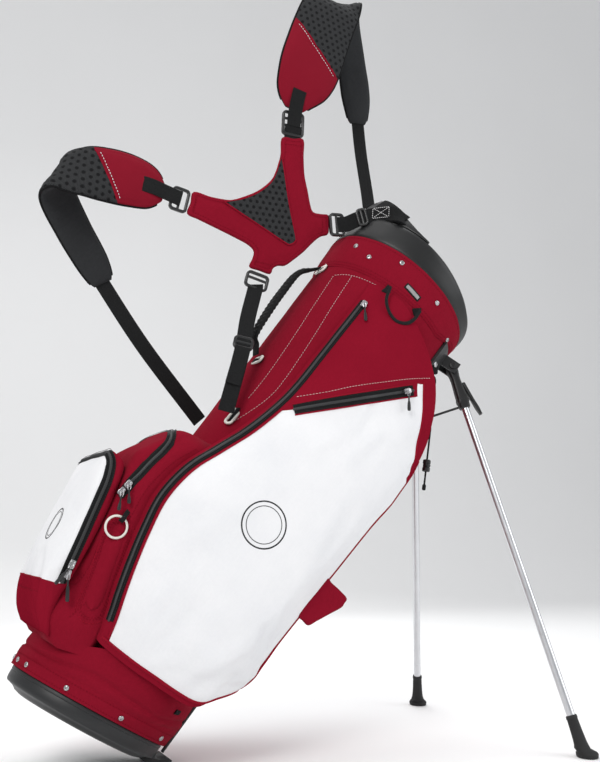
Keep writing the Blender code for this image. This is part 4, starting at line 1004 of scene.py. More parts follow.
def build_ball():
    back = [(-0.1240, 0.0570), (-0.1340, 0.0680), (-0.1440, 0.0820), (-0.1500, 0.1030), (-0.1522, 0.1200), (-0.1580, 0.1600), (-0.1655, 0.2000), (-0.1735, 0.2350), (-0.1835, 0.2700), (-0.1910, 0.2980)]
    front = [(-0.1420, 0.0570), (-0.1560, 0.0690), (-0.1700, 0.0860), (-0.1800, 0.1060), (-0.1840, 0.1260), (-0.1895, 0.1640), (-0.1985, 0.2050), (-0.2090, 0.2440), (-0.2180, 0.2760), (-0.2240, 0.3010)]
    n = 72
    Bp, Fp = spline(np.array(back), n), spline(np.array(front), n)
    rings, split = [], []
    for k in range(n):
        u = k / (n - 1)
        b, f = Bp[k], Fp[k]
        end = math.sqrt(max(0.02, 1 - abs(2 * u - 1) ** 9))
        mid = (b + f) / 2
        ax = unit(b - f)
        ha = np.linalg.norm(b - f) / 2 * (0.55 + 0.45 * end) + 0.002
        hb = 0.0985 * (0.945 + 0.055 * end)
        loop = rr_loop((mid[0], 0, mid[1]), (ax[0], 0, ax[1]), (0, 1, 0), ha, hb, 0.0095, 5, side=(6, 34))
        out = []
        for p in loop:
            p = np.array(p)
            yy = p[1] / hb
            fr = smooth(-0.2, 1.0, -((p - np.array([mid[0], 0, mid[1]])) @ np.array([ax[0], 0, ax[1]])) / ha)
            crown = (0.0080 * (1 - yy * yy) * math.sin(math.pi * min(1, max(0, u))) + 0.0014 * nz(p[0], p[1], p[2], 17.0, 7.0)) * fr
            p = p - np.array([ax[0], 0, ax[1]]) * crown
            out.append(p)
        rings.append(out)
    V, F = loft_data(rings)
    split = [max(0.1160 + (v[0] + 0.165) * 0.4 - v[2], v[0] - ball_zip_x(v[2]) if v[2] < 0.2945 else 0.01) for v in V]
    return add("ball_pocket_cloth", V, F, "bag", "white", rep=("ball_pocket",), sharp=60, attrs={"split": split})


BALL = build_ball()


def build_lower_cuff():
    """Fabric sleeve from the base ring up under the pockets."""
    n = 120
    to_bag = BAG_M.inverted() @ BASE_M
    rows_o, rows_i = [], []
    K = 44
    for k in range(K + 1):
        u = k / K
        o, i = [], []
        for j in range(n):
            phi = 2 * math.pi * j / n
            c, s = math.cos(phi), math.sin(phi)
            p0 = np.array(to_bag @ Vector((0.1243 * c, 0.1243 * 0.905 * s, 0.0205)))
            belly = smooth(0.35, 0.95, c)
            spine = smooth(0.30, 0.95, -c)
            x1 = 0.1200 * c if c > 0 else (0.1300 - 0.002 * spine) * c
            y1 = (0.1345 * (1 - belly * 0.15)) * s
            z1 = 0.0930 - 0.033 * spine + 0.020 * belly
            p1 = np.array([x1, y1, z1])
            m = u * u * (3 - 2 * u) * 0.6 + u * 0.4
            p = p0 + (p1 - p0) * m
            p[2] = p0[2] + (p1[2] - p0[2]) * u
            d = unit(np.array([c, s, 0.0]))
            bulge = 0.0035 * math.sin(math.pi * u) * (1 - 0.6 * spine)
            crease = 0.0026 * math.exp(-((u - 0.52 - 0.05 * math.sin(2 * phi + 1.0)) / 0.045) ** 2) + 0.0016 * math.exp(-((u - 0.30 + 0.04 * math.sin(phi * 3)) / 0.04) ** 2) * smooth(-0.2, 0.6, -s)
            wr = 0.0016 * nz(c * 1.4, s * 1.4, u * 2.2, 2.4, 5.0) * math.sin(math.pi * min(1, u * 1.15))
            groove = 0.0050 * math.exp(-(s / 0.075) ** 2) * smooth(0.0, 0.5, c) * smooth(0.0, 0.16, u) * (1 - smooth(0.75, 1.0, u))
            o.append(p + d * (bulge - crease * math.sin(math.pi * u) + wr - groove))
            i.append(p - d * (0.0035 + groove))
        rows_o.append(o)
        rows_i.append(i)
    rings = rows_o + rows_i[::-1]
    V, F = loft_data(rings, closed=True)
    ob = add("lower_cuff_cloth", V, F, None, "crimson", rep=("lower_cuff",), sharp=60)
    return ob


CUFF_L = build_lower_cuff()

SL_A, SL_B = 0.1264, 0.1206
CO_A, CO_B = 0.1385, 0.1305


def collar_height(phi):
    deg = abs((math.degrees(phi) + 180.0) % 360.0 - 180.0)
    t = [(0, .021), (25, .0222), (50, .025), (70, .0310), (90, .0385), (105, .0430), (120, .0455), (150, .0464), (180, .0465)]
    return table(t, deg)


def build_collar():
    n = 144
    rings = []
    for j in range(n):
        phi = 2 * math.pi * j / n
        c, s = math.cos(phi), math.sin(phi)
        h = collar_height(phi)
        prof = [(SL_A - .0045, SL_B - .0045, -.0255), (SL_A - .001, SL_B - .001, -.026), (SL_A, SL_B, -.025), (SL_A, SL_B, -.0012),
                (CO_A - .0010, CO_B - .0010, -.0006), (CO_A + .0002, CO_B + .0002, .0008), (CO_A + .0010, CO_B + .0010, .0040),
                (CO_A + .0016, CO_B + .0016, h * .35), (CO_A + .0023, CO_B + .0023, h - .012), (CO_A + .0024, CO_B + .0024, h - .0065),
                (CO_A + .0016, CO_B + .0016, h - .0030), (CO_A - .0002, CO_B - .0002, h - .0008), (CO_A - .0030, CO_B - .0030, h),
                (SL_A + .0035, SL_B + .0035, h - .0006), (SL_A + .0002, SL_B + .0002, h - .0022), (SL_A - .0030, SL_B - .0030, h - .0050),
                (SL_A - .0045, SL_B - .0045, h - .0090), (SL_A - .0045, SL_B - .0045, -.010)]
        rings.append([(a * c, b * s, z) for a, b, z in prof])
    return loft("top_collar_moulding", rings, "bag", "collar", COL_M, closed=True, rep=("top_collar",), sharp=45)


COLLAR = build_collar()

H_TOP = [(108, 0.0475), (114, .0502), (120, 0.0540), (130, 0.0640), (140, 0.0760), (150, 0.0870), (160, 0.0970), (170, 0.1030), (180, 0.1050)]
H_OPEN = [(0, 0.0), (138, 0.0), (142, .003), (150, 0.0110), (160, 0.0190), (170, .0235), (180, 0.0250)]


def build_handle():
    rings = []
    n = 72
    for i in range(n + 1):
        deg = 108 + 144.0 * i / n
        phi = math.radians(deg)
        d = min(deg, 360 - deg)
        lo = collar_height(phi) + 0.0004 + table(H_OPEN, d)
        hi = table(H_TOP, d)
        lean = 0.10 * (hi - 0.0475)
        h = hi - lo
        ring = []
        t = 0.0052
        e = min(0.22, 0.0045 / max(h, 0.002))
        prof = [(-.55, 0.0), (.55, 0.0), (.9, e * .35), (1, e), (1.0, .5), (1, 1 - e), (.9, 1 - e * .35), (.55, 1.0), (-.55, 1.0), (-.9, 1 - e * .35), (-1, 1 - e), (-1, .5), (-1, e), (-.9, e * .35)]
        for sx, sz in prof:
            r = sx * t - 0.0050 - lean * (sz if sz > 0.5 else 0.3)
            ring.append(((CO_A + r) * math.cos(phi), (CO_B + r) * math.sin(phi), lo + h * sz))
        rings.append(ring)
    return loft("lift_handle_moulding", rings, "bag", "collar", COL_M, rep=("lift_handle",), sharp=45)


HANDLE = build_handle()


def cuff_low(phi):
    """Lower edge of the upper cuff, along the tube: higher at the belly to clear the bracket."""
    c = math.cos(phi)
    return 0.7800 + 0.026 * smooth(0.45, 0.92, c)


def build_upper_cuff():
    n = 144
    rows_o, rows_i = [], []
    K = 20
    inv = BAG_M.inverted() @ COL_M
    for k in range(K + 1):
        u = k / K
        o, i = [], []
        for j in range(n):
            phi = 2 * math.pi * j / n
            c, s = math.cos(phi), math.sin(phi)
            top = np.array(inv @ Vector((0.1388 * c, 0.1388 * 0.941 * s, -0.0006)))
            z0 = cuff_low(phi)
            low = ell(z0, phi, 0.0016)
            p = low + (top - low) * u
            d = np.array([c, s, 0.0])
            roll = -0.0008 * (1 - edge_round(min(u, 1 - u) * 0.06, 0.004, 1.0))
            wr = 0.0007 * nz(c * 2, s * 2, u * 1.5, 2.2, 11.0)
            mid = 0.0012 * math.sin(math.pi * u)
            o.append(p + d * (roll + wr + mid))
            i.append(p - d * 0.0016)
        rows_o.append(o)
        rows_i.append(i)
    V, F = loft_data(rows_o + rows_i[::-1], closed=True)
    return add("upper_cuff_cloth", V, F, "bag", "crimson", rep=("upper_cuff",), sharp=60)


CUFF_U = build_upper_cuff()


def build_base():
    """Base cup: ring wall, lip and ribbed sole with the pedal's recess."""
    n = 128
    k = BASE_B / BASE_A
    prof = [(0.0, 0.0045), (0.060, 0.0045), (0.1115, 0.0045), (0.1125, 0.0060), (0.1128, 0.0318), (0.1133, 0.0322), (0.1160, 0.0322), (0.1165, 0.0316),
            (0.1165, 0.0200), (0.1193, 0.0198), (0.1199, 0.0186), (0.1198, 0.0150), (0.1190, 0.0142), (0.1195, 0.0130), (0.1194, 0.0060), (0.1188, 0.0012),
            (0.1172, -0.0008), (0.1140, -0.0016)]
    rr = np.linspace(0.1120, 0.0, 46)
    for r in rr:
        dome = -0.0024 - (0.0100 - 0.0024) * smooth(0.0, 1.0, (0.1120 - r) / 0.016) if r > 0.096 else -0.0100
        rib = 0.0010 * (0.5 + 0.5 * math.cos(2 * math.pi * r / 0.0098)) if 0.010 < r < 0.106 else 0.0
        prof.append((r, dome + rib))
    V, F = [], []
    for j in range(n):
        phi = 2 * math.pi * j / n
        for r, z in prof:
            V.append((max(r, 1e-6) * math.cos(phi), max(r, 1e-6) * k * math.sin(phi), z))
    m = len(prof)
    for j in range(n):
        a, b = j * m, ((j + 1) % n) * m
        for i in range(m - 1):
            F.append((a + i, a + i + 1, b + i + 1, b + i))
    ob = add("base_cup_moulding", V, F, "base", "base", BASE_M, rep=("base_cup",), sharp=40, clean=0.00001)
    cut = bmesh.new()
    bmesh.ops.create_cube(cut, size=1.0)
    for v in cut.verts:
        v.co = BASE_M @ Vector((0.0790 + v.co.x * 0.100, v.co.y * 0.054, -0.0100 + v.co.z * 0.0206))
    cm = bpy.data.meshes.new("recess_cut")
    cut.to_mesh(cm)
    cut.free()
    co = bpy.data.objects.new("recess_cut", cm)
    bpy.context.scene.collection.objects.link(co)
    b = ob.modifiers.new("recess", "BOOLEAN")
    b.operation, b.object, b.solver = "DIFFERENCE", co, "EXACT"
    bpy.context.view_layer.update()
    me = bpy.data.meshes.new_from_object(ob.evaluated_get(bpy.context.evaluated_depsgraph_get()))
    ob.modifiers.clear()
    ob.data = me
    me.materials.clear()
    me.materials.append(MAT["base"])
    bpy.data.objects.remove(co)
    me.shade_smooth()
    me.set_sharp_from_angle(angle=math.radians(40))
    return ob


BASE_CUP = build_base()


# ------------------------------------------------------------------ cloth simulation of the stuffed pieces
def close_to(co, pts, radius):
    P = spline(np.array(pts, float), max(24, int(length(np.array(pts, float)) / 0.006)))
    out = []
    for k in range(0, len(co), 2000):
        d = np.linalg.norm(co[k:k + 2000, None, :] - P[None, :, :], axis=2).min(axis=1)
        out.append(d < radius)
    return np.concatenate(out)


def local(ob):
    co = np.empty(len(ob.data.vertices) * 3, np.float32)
    ob.data.vertices.foreach_get("co", co)
    return co.reshape(-1, 3).astype(float)


def in_bag(ob):
    """Vertex positions in the bag's own frame."""
    m = np.array(BAG_M.inverted() @ ob.matrix_world)
    return local(ob) @ m[:3, :3].T + m[:3, 3]


def settle(jobs, frames_=20):
    """Blow the pieces up a little as cloth, all together, then keep the shape as plain mesh."""
    scene = bpy.context.scene
    scene.frame_start, scene.frame_end = 1, frames_
    was = []
    for ob, held, cap, press in jobs:
        was.append(local(ob))
        g = ob.vertex_groups.new(name="held")
        g.add([int(i) for i in np.nonzero(held)[0]], 1.0, "REPLACE")
        m = ob.modifiers.new("soft", "CLOTH")
        s = m.settings
        s.quality = 4
        s.mass = 0.35
        s.tension_stiffness = s.compression_stiffness = 22.0
        s.shear_stiffness = 8.0
        s.bending_stiffness = 1.2
        s.use_pressure = True
        s.uniform_pressure_force = press
        s.effector_weights.gravity = 0.0
        s.vertex_group_mass = "held"
        m.point_cache.frame_start, m.point_cache.frame_end = 1, frames_
    for fr in range(1, frames_ + 1):
        scene.frame_set(fr)
    dg = bpy.context.evaluated_depsgraph_get()
    for (ob, held, cap, press), co0 in zip(jobs, was):
        ev = ob.evaluated_get(dg)
        me = ev.to_mesh()
        co = np.empty(len(me.vertices) * 3, np.float32)
        me.vertices.foreach_get("co", co)
        co = co.reshape(-1, 3).astype(float)
        ev.to_mesh_clear()
        d = co - co0
        n = np.linalg.norm(d, axis=1)
        d *= np.minimum(1.0, cap / np.maximum(n, 1e-9))[:, None]
        d[held] = 0.0
        print("cloth", ob.name, "moved up to %.1f mm, mean %.1f mm" % (n.max() * 1000, n.mean() * 1000))
        ob.modifiers.clear()
        ob.vertex_groups.clear()
        ob.data.vertices.foreach_set("co", (co0 + d).astype(np.float32).ravel())
        ob.data.update()
    scene.frame_set(1)


def held_pocket(ob, pin, s):
    co = in_bag(ob)
    h = np.zeros(len(co), bool)
    h[:len(pin)] = pin[:len(co)]
    zipp = close_to(co, [(zip_centre(z), s * abs(pocket_point(0.8, 0.5, 1)[1]), z) for z in (0.10, 0.4, 0.75)], 0.0)
    for k, p in enumerate(co):
        if abs(p[0] - zip_centre(p[2])) < 0.013 or abs(zip_line_side(p[0], p[2])) < 0.013:
            h[k] = True
    return h | zipp


acc_co, ball_co = in_bag(ACC), in_bag(BALL)
acc_h = close_to(acc_co, [(-0.1768, -0.104, 0.256), (-0.1670, -0.104, 0.344), (-0.1630, -0.0760, 0.3780), (-0.1620, 0.0, 0.3890), (-0.1630, 0.0760, 0.3780), (-0.1670, 0.104, 0.344), (-0.1740, 0.104, 0.276)], 0.014)
acc_h |= close_to(acc_co, [(-0.1600, -0.104, 0.232), (-0.1400, -0.104, 0.210)], 0.020)
tree = bvh_of(TUBE)
for k, p in enumerate(acc_co):
    if tree.find_nearest(BAG_M @ Vector(p))[3] < 0.0045 or p[0] > -0.095:
        acc_h[k] = True
ball_h = close_to(ball_co, [(ball_zip_x(z), -0.104, z) for z in (0.116, 0.147, 0.216, 0.276, 0.290)] + [(-0.226, -0.08, 0.296), (-0.226, 0.08, 0.296)] + [(ball_zip_x(z), 0.104, z) for z in (0.290, 0.276, 0.216, 0.147, 0.116)], 0.012)
tree = bvh_of(ACC)
for k, p in enumerate(ball_co):
    if tree.find_nearest(BAG_M @ Vector(p))[3] < 0.0060:
        ball_h[k] = True
jobs = [(POCKET_N, held_pocket(POCKET_N, np.array(PIN_N), -1), 0.0060, 4.0), (POCKET_F, held_pocket(POCKET_F, np.array(PIN_F), 1), 0.0060, 4.0),
        (ACC, acc_h, 0.0050, 4.0), (BALL, ball_h, 0.0060, 4.0)]
settle(jobs)


# ------------------------------------------------------------------ legs
D_OPEN = ((BAG_M.inverted() @ FOOT_WORLD) - PIVOT).normalized()
LEG_LEN = ((BAG_M.inverted() @ FOOT_WORLD) - PIVOT).length
D_FOLD = (FOLD_END - PIVOT).normalized()
AXIS = D_OPEN.cross(D_FOLD).normalized()
LEG_R = 0.00635


def build_legs():
    for side, s in (("near", -1), ("far", 1)):
        mir = lambda p: np.array([p[0], p[1] if s < 0 else -p[1], p[2]])
        piv, dop = mir(PIVOT), mir(D_OPEN)
        ax = np.array(AXIS) if s < 0 else np.array([-AXIS.x, AXIS.y, -AXIS.z])
        across = np.cross(ax, dop)
        body = "leg_" + side
        # yoke: moulded socket with a waist, collar rib and clamp lip
        st = [(-0.0092, .0052, .0066), (-0.0080, .0074, .0080), (-.0040, .0088, .0088), (.0030, .0092, .0088), (.0090, .0088, .0088), (.0160, .0078, .0086),
              (.0240, .0074, .0084), (.0320, .0080, .0084), (.0480, .0090, .0088), (.0560, .0093, .0089), (.0580, .0100, .0098), (.0635, .0100, .0098),
              (.0650, .0090, .0088), (.0715, .0088, .0086), (.0738, .0080, .0078)]
        rings = [rr_loop(piv + dop * t, across, ax, h, w, 0.0046, 4, side=(2, 2)) for t, h, w in st]
        loft("leg_yoke_moulding_" + side, rings, body, "black", rep=("leg_yoke_" + side,), sharp=38)
        # release lever behind the socket
        lev = [piv + dop * t - across * o for t, o in ((.030, .0105), (.046, .0135), (.062, .0165), (.078, .0200), (.090, .0225))]
        lv = [rr_loop(p, ax, unit(np.cross(ax, dop)), w, th, 0.0016, 3) for p, w, th in zip(lev, (.0042, .0050, .0056, .0060, .0048), (.0030, .0026, .0024, .0026, .0020))]
        loft("leg_lever_" + side, lv, body, "black", sharp=38)
        # leg tube, round and of even radius
        P = [piv + dop * t for t in (.031, .0700, .0742, .0756, .0770, .2, .35, .5, LEG_LEN - .064, LEG_LEN - .0625, LEG_LEN - .030)]
        R = [LEG_R, LEG_R, LEG_R, LEG_R * 1.0, LEG_R, LEG_R, LEG_R, LEG_R, LEG_R, LEG_R, LEG_R]
        V, F = tube_data(P, 1.0, 40, rfun=lambda i: R[i], round_end=False)
        add("leg_tube_round_" + side, V, F, body, "alu", rep=("leg_tube_" + side,), sharp=40)
        # rubber boot
        f = np.array(FOOT_WORLD) if s < 0 else np.array([FOOT_WORLD.x, -FOOT_WORLD.y, 0.0])
        dw = np.array((BAG_M.to_3x3() @ Vector(dop)).normalized())
        ux = unit(np.array([0, 1, 0]) - dw * dw[1])
        uy = np.cross(dw, ux)
        fx = unit(np.array([ux[0], ux[1], 0.0]))
        fy = np.array([-fx[1], fx[0], 0.0]) * (1 if np.cross(ux, uy)[2] > 0 else -1)

        def oval(c, rx, ry, xd, yd, n=36, lug=0.0):
            return [c + xd * rx * math.cos(2 * math.pi * i / n) * (1 + lug * (0.5 + 0.5 * math.cos(12 * 2 * math.pi * i / n))) +
                    yd * ry * math.sin(2 * math.pi * i / n) * (1 + lug * (0.5 + 0.5 * math.cos(12 * 2 * math.pi * i / n))) for i in range(n)]
        c2 = np.array([f[0] + .002, f[1] - .002 * s * -1, 0.0])
        e = np.array([0, 0, 1.0])
        rings = [oval(f - dw * .0605, .0070, .0070, ux, uy), oval(f - dw * .0600, .0082, .0082, ux, uy), oval(f - dw * .0560, .0087, .0087, ux, uy),
                 oval(f - dw * .0545, .0080, .0080, ux, uy), oval(f - dw * .0500, .0082, .0082, ux, uy), oval(f - dw * .0380, .0086, .0086, ux, uy),
                 oval(f - dw * .0260, .0094, .0092, ux, uy), oval(f - dw * .0190, .0104, .0098, unit(ux + fx * 0.5), unit(uy + fy * 0.5)),
                 oval(np.array([f[0] - dw[0] * .012, f[1] - dw[1] * .012, .0120]), .0130, .0114, fx, fy),
                 oval(c2 + e * .0078, .0170, .0140, fx, fy), oval(c2 + e * .0060, .0184, .0150, fx, fy), oval(c2 + e * .0048, .0185, .0150, fx, fy),
                 oval(c2 + e * .0016, .0182, .0147, fx, fy), oval(c2 + e * .0003, .0172, .0138, fx, fy), oval(c2 + e * .0, .0160, .0126, fx, fy)]
        loft("leg_foot_boot_" + side, rings, body, "rubber", WORLD_M, rep=("leg_foot_" + side,), sharp=50)
        # pivot caps on the bracket
        parts = []
        for k in (-1, 1):
            parts.append(revolve_data([(0.0, 0), (.0050, 0), (.0058, .0006), (.0056, .0016), (.0030, .0022), (.0028, .0016), (.0012, .0015), (0.0, .0015)],
                                      piv + ax * k * .01415, ax * k, dop, 24))
        V, F = join(parts)
        add("pivot_caps_" + side, V, F, "bag", "black", sharp=40)


build_legs()

# ------------------------------------------------------------------ shoulder harness (world axes)
HUB = [(0.041, 0.857), (0.036, 0.838), (0.031, 0.820), (0.050, 0.813), (0.070, 0.806), (0.115, 0.790), (0.134, 0.782), (0.1435, 0.773), (0.141, 0.760), (0.136, 0.746),
       (0.154, 0.7415), (0.172, 0.738), (0.177, 0.748), (0.186, 0.7535), (0.198, 0.755), (0.215, 0.768), (0.232, 0.783), (0.248, 0.800), (0.262, 0.812), (0.276, 0.818), (0.2775, 0.834),
       (0.277, 0.851), (0.262, 0.8515), (0.248, 0.853), (0.243, 0.866), (0.239, 0.886), (0.233, 0.914), (0.2315, 0.945), (0.231, 0.976), (0.212, 0.975), (0.192, 0.973),
       (0.190, 0.945), (0.184, 0.920), (0.177, 0.903), (0.166, 0.889), (0.148, 0.874), (0.126, 0.862), (0.110, 0.855), (0.097, 0.852), (0.069, 0.853)]
HUB_MESH = [(.1865, .932), (.1800, .911), (.1700, .8905), (.1500, .8715), (.126, .8575), (.103, .8495), (.093, .8465), (.096, .8425), (.150, .8150), (.196, .7915), (.205, .7900), (.2130, .7960), (.2140, .8040), (.2020, .860), (.1905, .9300)]


def flat_xz(y0, sign=-1):
    return lambda u, v, h: (u, y0 + sign * h, v)


def build_hub():
    out = spline(np.array(HUB), 190, closed=True)

    def h(u, v, d):
        q = edge_round(d, 0.0042, 0.0047) + 0.0012 * smooth(0.004, 0.020, d)
        groove = 0.0011 * math.exp(-((d - 0.0062) / 0.0012) ** 2)
        return q - groove + 0.0005 * nz(u, 0, v, 28.0, 3.0)
    V, F, UV, nf = puffy(out, h, flat_xz(-0.0240), grid=0.0060, back=0.85)
    hub = add("strap_hub_pad", V, F, "bag", "crimson", WORLD_M, rep=("strap_hub",), sharp=60)
    tri = spline(np.array(HUB_MESH), 120, closed=True)

    def hm(u, v, d):
        q = edge_round(d, 0.0030, 0.0016)
        k = hexdist(u, v, HEX)
        return max(0.0004, q - 0.0011 * (1 - smooth(0.0012, 0.0036, k)) * smooth(0.001, 0.004, d))
    V, F, UV, nf = puffy(tri, hm, flat_xz(-0.0306), grid=0.0016, insets=(0.0005, 0.0014), back=1.0, clear=0.0022)
    add("strap_hub_mesh", V, F, "bag", "mesh", WORLD_M, attrs={"uvm": UV}, sharp=0)
    rim = [(x, -0.0310, z) for x, z in tri]
    tube("strap_hub_piping", rim, 0.0013, "bag", "piping", WORLD_M, seg=8, closed=True)
    tree = bvh_of(hub)
    loopy = []
    for ins in (0.0066,):
        t = np.roll(out, -1, 0) - np.roll(out, 1, 0)
        t /= np.linalg.norm(t, axis=1)[:, None]
        area = 0.5 * np.sum(out[:, 0] * np.roll(out[:, 1], -1) - np.roll(out[:, 0], -1) * out[:, 1])
        inw = np.stack([-t[:, 1], t[:, 0]], 1) * (1 if area > 0 else -1)
        q = out + inw * ins
        pts = [(a, -0.06, b) for a, b in q]
        loopy.append(lay(tree, pts + pts[:1], (0, 1, 0), WORLD_M, back=0.0))
    # folded ends: a stitched line across each arm
    for a, b in (((.186, .961), (.237, .963)), ((.049, .862), (.038, .812)), ((.264, .857), (.263, .808)), ((.131, .757), (.184, .750))):
        loopy.append(lay(tree, [(a[0], -0.06, a[1]), ((a[0] + b[0]) / 2, -0.06, (a[1] + b[1]) / 2), (b[0], -0.06, b[1])], (0, 1, 0), WORLD_M, back=0.0))
    stitch("strap_hub_stitching", loopy, "bag", "thread_r", r=0.00042)
    return hub


HUB_PAD = build_hub()

PAD_R = [((0.2130, -0.0230, 1.0270), (1, 0, -0.1), 0.036, 0.010), ((0.2200, -0.0290, 1.0560), (1, 0, -0.12), 0.080, 0.014),
         ((0.2360, -0.0350, 1.0960), (1, 0, -0.15), 0.104, 0.016), ((0.2600, -0.0360, 1.1680), (1, 0, -0.2), 0.104, 0.016),
         ((0.2820, -0.0300, 1.2190), (1, 0, -0.1), 0.098, 0.016), ((0.3040, -0.0060, 1.2395), (1, 0.25, 0.0), 0.088, 0.015),
         ((0.3340, 0.0260, 1.2270), (1, 0.3, 0.1), 0.074, 0.016), ((0.3570, 0.0440, 1.1800), (1, 0.2, 0.1), 0.062, 0.015),
         ((0.3700, 0.0500, 1.1100), (1, 0, 0.0), 0.054, 0.014), ((0.3730, 0.0500, 1.0600), (1, 0, 0.0), 0.036, 0.010)]
PAD_L = [((-0.0080, -0.0220, 0.8480), (0.1, 0, 1), 0.034, 0.010), ((-0.0300, -0.0270, 0.8520), (0.3, 0, 1), 0.066, 0.014),
         ((-0.0620, -0.0310, 0.8570), (0.25, 0, 1), 0.080, 0.016), ((-0.1000, -0.0330, 0.8600), (0.25, 0, 1), 0.082, 0.016),
         ((-0.1340, -0.0290, 0.8620), (0.3, 0, 1), 0.076, 0.016), ((-0.1640, -0.0080, 0.8620), (0.45, 0.2, 0.9), 0.070, 0.016),
         ((-0.1620, 0.0240, 0.8400), (0.8, 0.2, 0.5), 0.062, 0.016), ((-0.1320, 0.0420, 0.7930), (0.9, 0.1, 0.45), 0.056, 0.015),
         ((-0.1000, 0.0480, 0.7450), (0.9, 0, 0.55), 0.050, 0.014), ((-0.0810, 0.0500, 0.7130), (0.9, 0, 0.6), 0.036, 0.010)]


def build_pad(side, stations, seam, slope):
    """Curved shoulder pad: cloth lower half and spacer mesh upper half on its outer face, lining on its inner face."""
    n = 96
    C = np.array([s[0] for s in stations], float)
    ts = np.interp(np.linspace(0, 1, n), np.concatenate([[0], np.cumsum(np.linalg.norm(np.diff(C, axis=0), axis=1))]) / length(C), np.arange(len(C)))
    P = catmull(C, ts)
    Wd = catmull(np.array([s[1] for s in stations], float), ts)
    wt = catmull(np.array([[s[2], s[3]] for s in stations], float), ts)
    T = np.gradient(P, axis=0)
    run = 0.0
    rings, split, uv, meta = [], [], [], []
    M = 40
    L = length(P)
    for i in range(n):
        if i:
            run += float(np.linalg.norm(P[i] - P[i - 1]))
        t = unit(T[i])
        w = unit(Wd[i] - t * (Wd[i] @ t))
        nrm = np.cross(t, w)
        hw, ht = wt[i][0] / 2, wt[i][1] / 2
        end = math.sqrt(max(0.05, 1 - max(0.0, 1 - min(run, L - run) / 0.014) ** 2))
        hw *= 0.80 + 0.20 * end
        ht *= 0.55 + 0.45 * end
        loop = []
        for j in range(M):
            a = 2 * math.pi * j / M
            ca, sa = math.cos(a), math.sin(a)
            x = abs(ca) ** 0.38 * (1 if ca >= 0 else -1)
            y = abs(sa) ** 0.62 * (1 if sa >= 0 else -1)
            v = x * hw
            edge = smooth(1.0, 0.80, abs(x))
            q = ht * y * (0.80 + 0.30 * (1 - abs(x) ** 3))
            outer = y < 0
            d = 0.0
            if outer:
                k = hexdist(v, run, HEX)
                is_mesh = (run - (seam + slope * v)) > 0 and run < 0.60 * L
                if is_mesh:
                    d = -0.0011 * (1 - smooth(0.0012, 0.0036, k)) * edge
                d -= 0.0016 * math.exp(-((run - seam - slope * v) / 0.0016) ** 2) * edge
                d -= 0.0010 * math.exp(-((abs(v) - (hw - 0.0055)) / 0.0012) ** 2)
            else:
                d = -0.0010 * math.exp(-(((run % 0.050) - 0.025) / 0.0020) ** 2) * edge
            d += 0.0006 * nz(P[i][0] + v, y, P[i][2], 30.0, 5.0)
            p = P[i] + w * v + nrm * (q + d * (1 if y > 0 else -1))
            loop.append(p)
            sp = max((seam + slope * v) - run, run - 0.60 * L)
            split.append(sp)
            uv.append((v, run, 0.0))
        rings.append(loop)
    V, F = loft_data(rings)
    while len(split) < len(V):
        split.append(0.01 if len(split) < n * M + M + 1 else -0.01)
        uv.append((0.0, 0.0, 0.0))
    fm = []
    for f in F:
        j = [q % M for q in f if q < n * M]
        ok = len(j) == len(f) and all(M / 2 + 1 <= q <= M - 1 for q in j)
        fm.append(0 if ok else 1)
    ob = add("shoulder_pad_cloth_" + side, V, F, "bag", ["pad", "foam"], WORLD_M, rep=("shoulder_pad_" + side,), attrs={"split": split, "uvm": uv}, fmat=fm, sharp=0)
    # edge binding both sides
    for k, sgn in (("a", 1), ("b", -1)):
        line = []
        for i in range(2, n - 2):
            line.append((np.array(rings[i][0 if sgn > 0 else M // 2]) + (np.array(rings[i][0 if sgn > 0 else M // 2]) - P[i]) * 0.006))
        tube("pad_binding_%s_%s" % (side, k), line, 0.0021, "bag", "black_cloth", WORLD_M, seg=8)
    tree = bvh_of(ob)
    # white stitched line beside the seam, and the seam cord
    i0 = int(n * seam / L)

    def across(shift, lo=-0.86, hi=0.86):
        pts, nn = [], []
        for q in np.linspace(lo, hi, 26):
            v0 = q * wt[min(n - 1, i0)][0] / 2
            r0 = seam + slope * v0 + shift
            f = r0 / L * (n - 1)
            i = int(min(max(f, 1), n - 2))
            t = unit(T[i])
            w = unit(Wd[i] - t * (Wd[i] @ t))
            nrm = np.cross(t, w)
            c = P[i] + (P[min(n - 1, i + 1)] - P[i]) * (f - i) + w * q * wt[i][0] / 2
            hit, hn, _, _ = tree.ray_cast(Vector(c - nrm * 0.05), Vector(nrm))
            if hit is None:
                continue
            pts.append(np.array(hit))
            nn.append(-nrm)
        return spline(np.array(pts), 40), spline(np.array(nn), 40)
    W1, N1 = across(0.0)
    tube("pad_seam_" + side, W1 - N1 * 0.0002, 0.0011, "bag", "piping", WORLD_M, seg=8, normals=N1)
    stitch("pad_stitch_" + side, [across(-0.0050)], "bag", "thread_w", r=0.00050, dash=0.0034)
    return ob, P, Wd


PAD_R_OB, PR, WR = build_pad("right", PAD_R, 0.117, -0.62)
PAD_L_OB, PL, WL = build_pad("left", PAD_L, 0.095, 0.55)


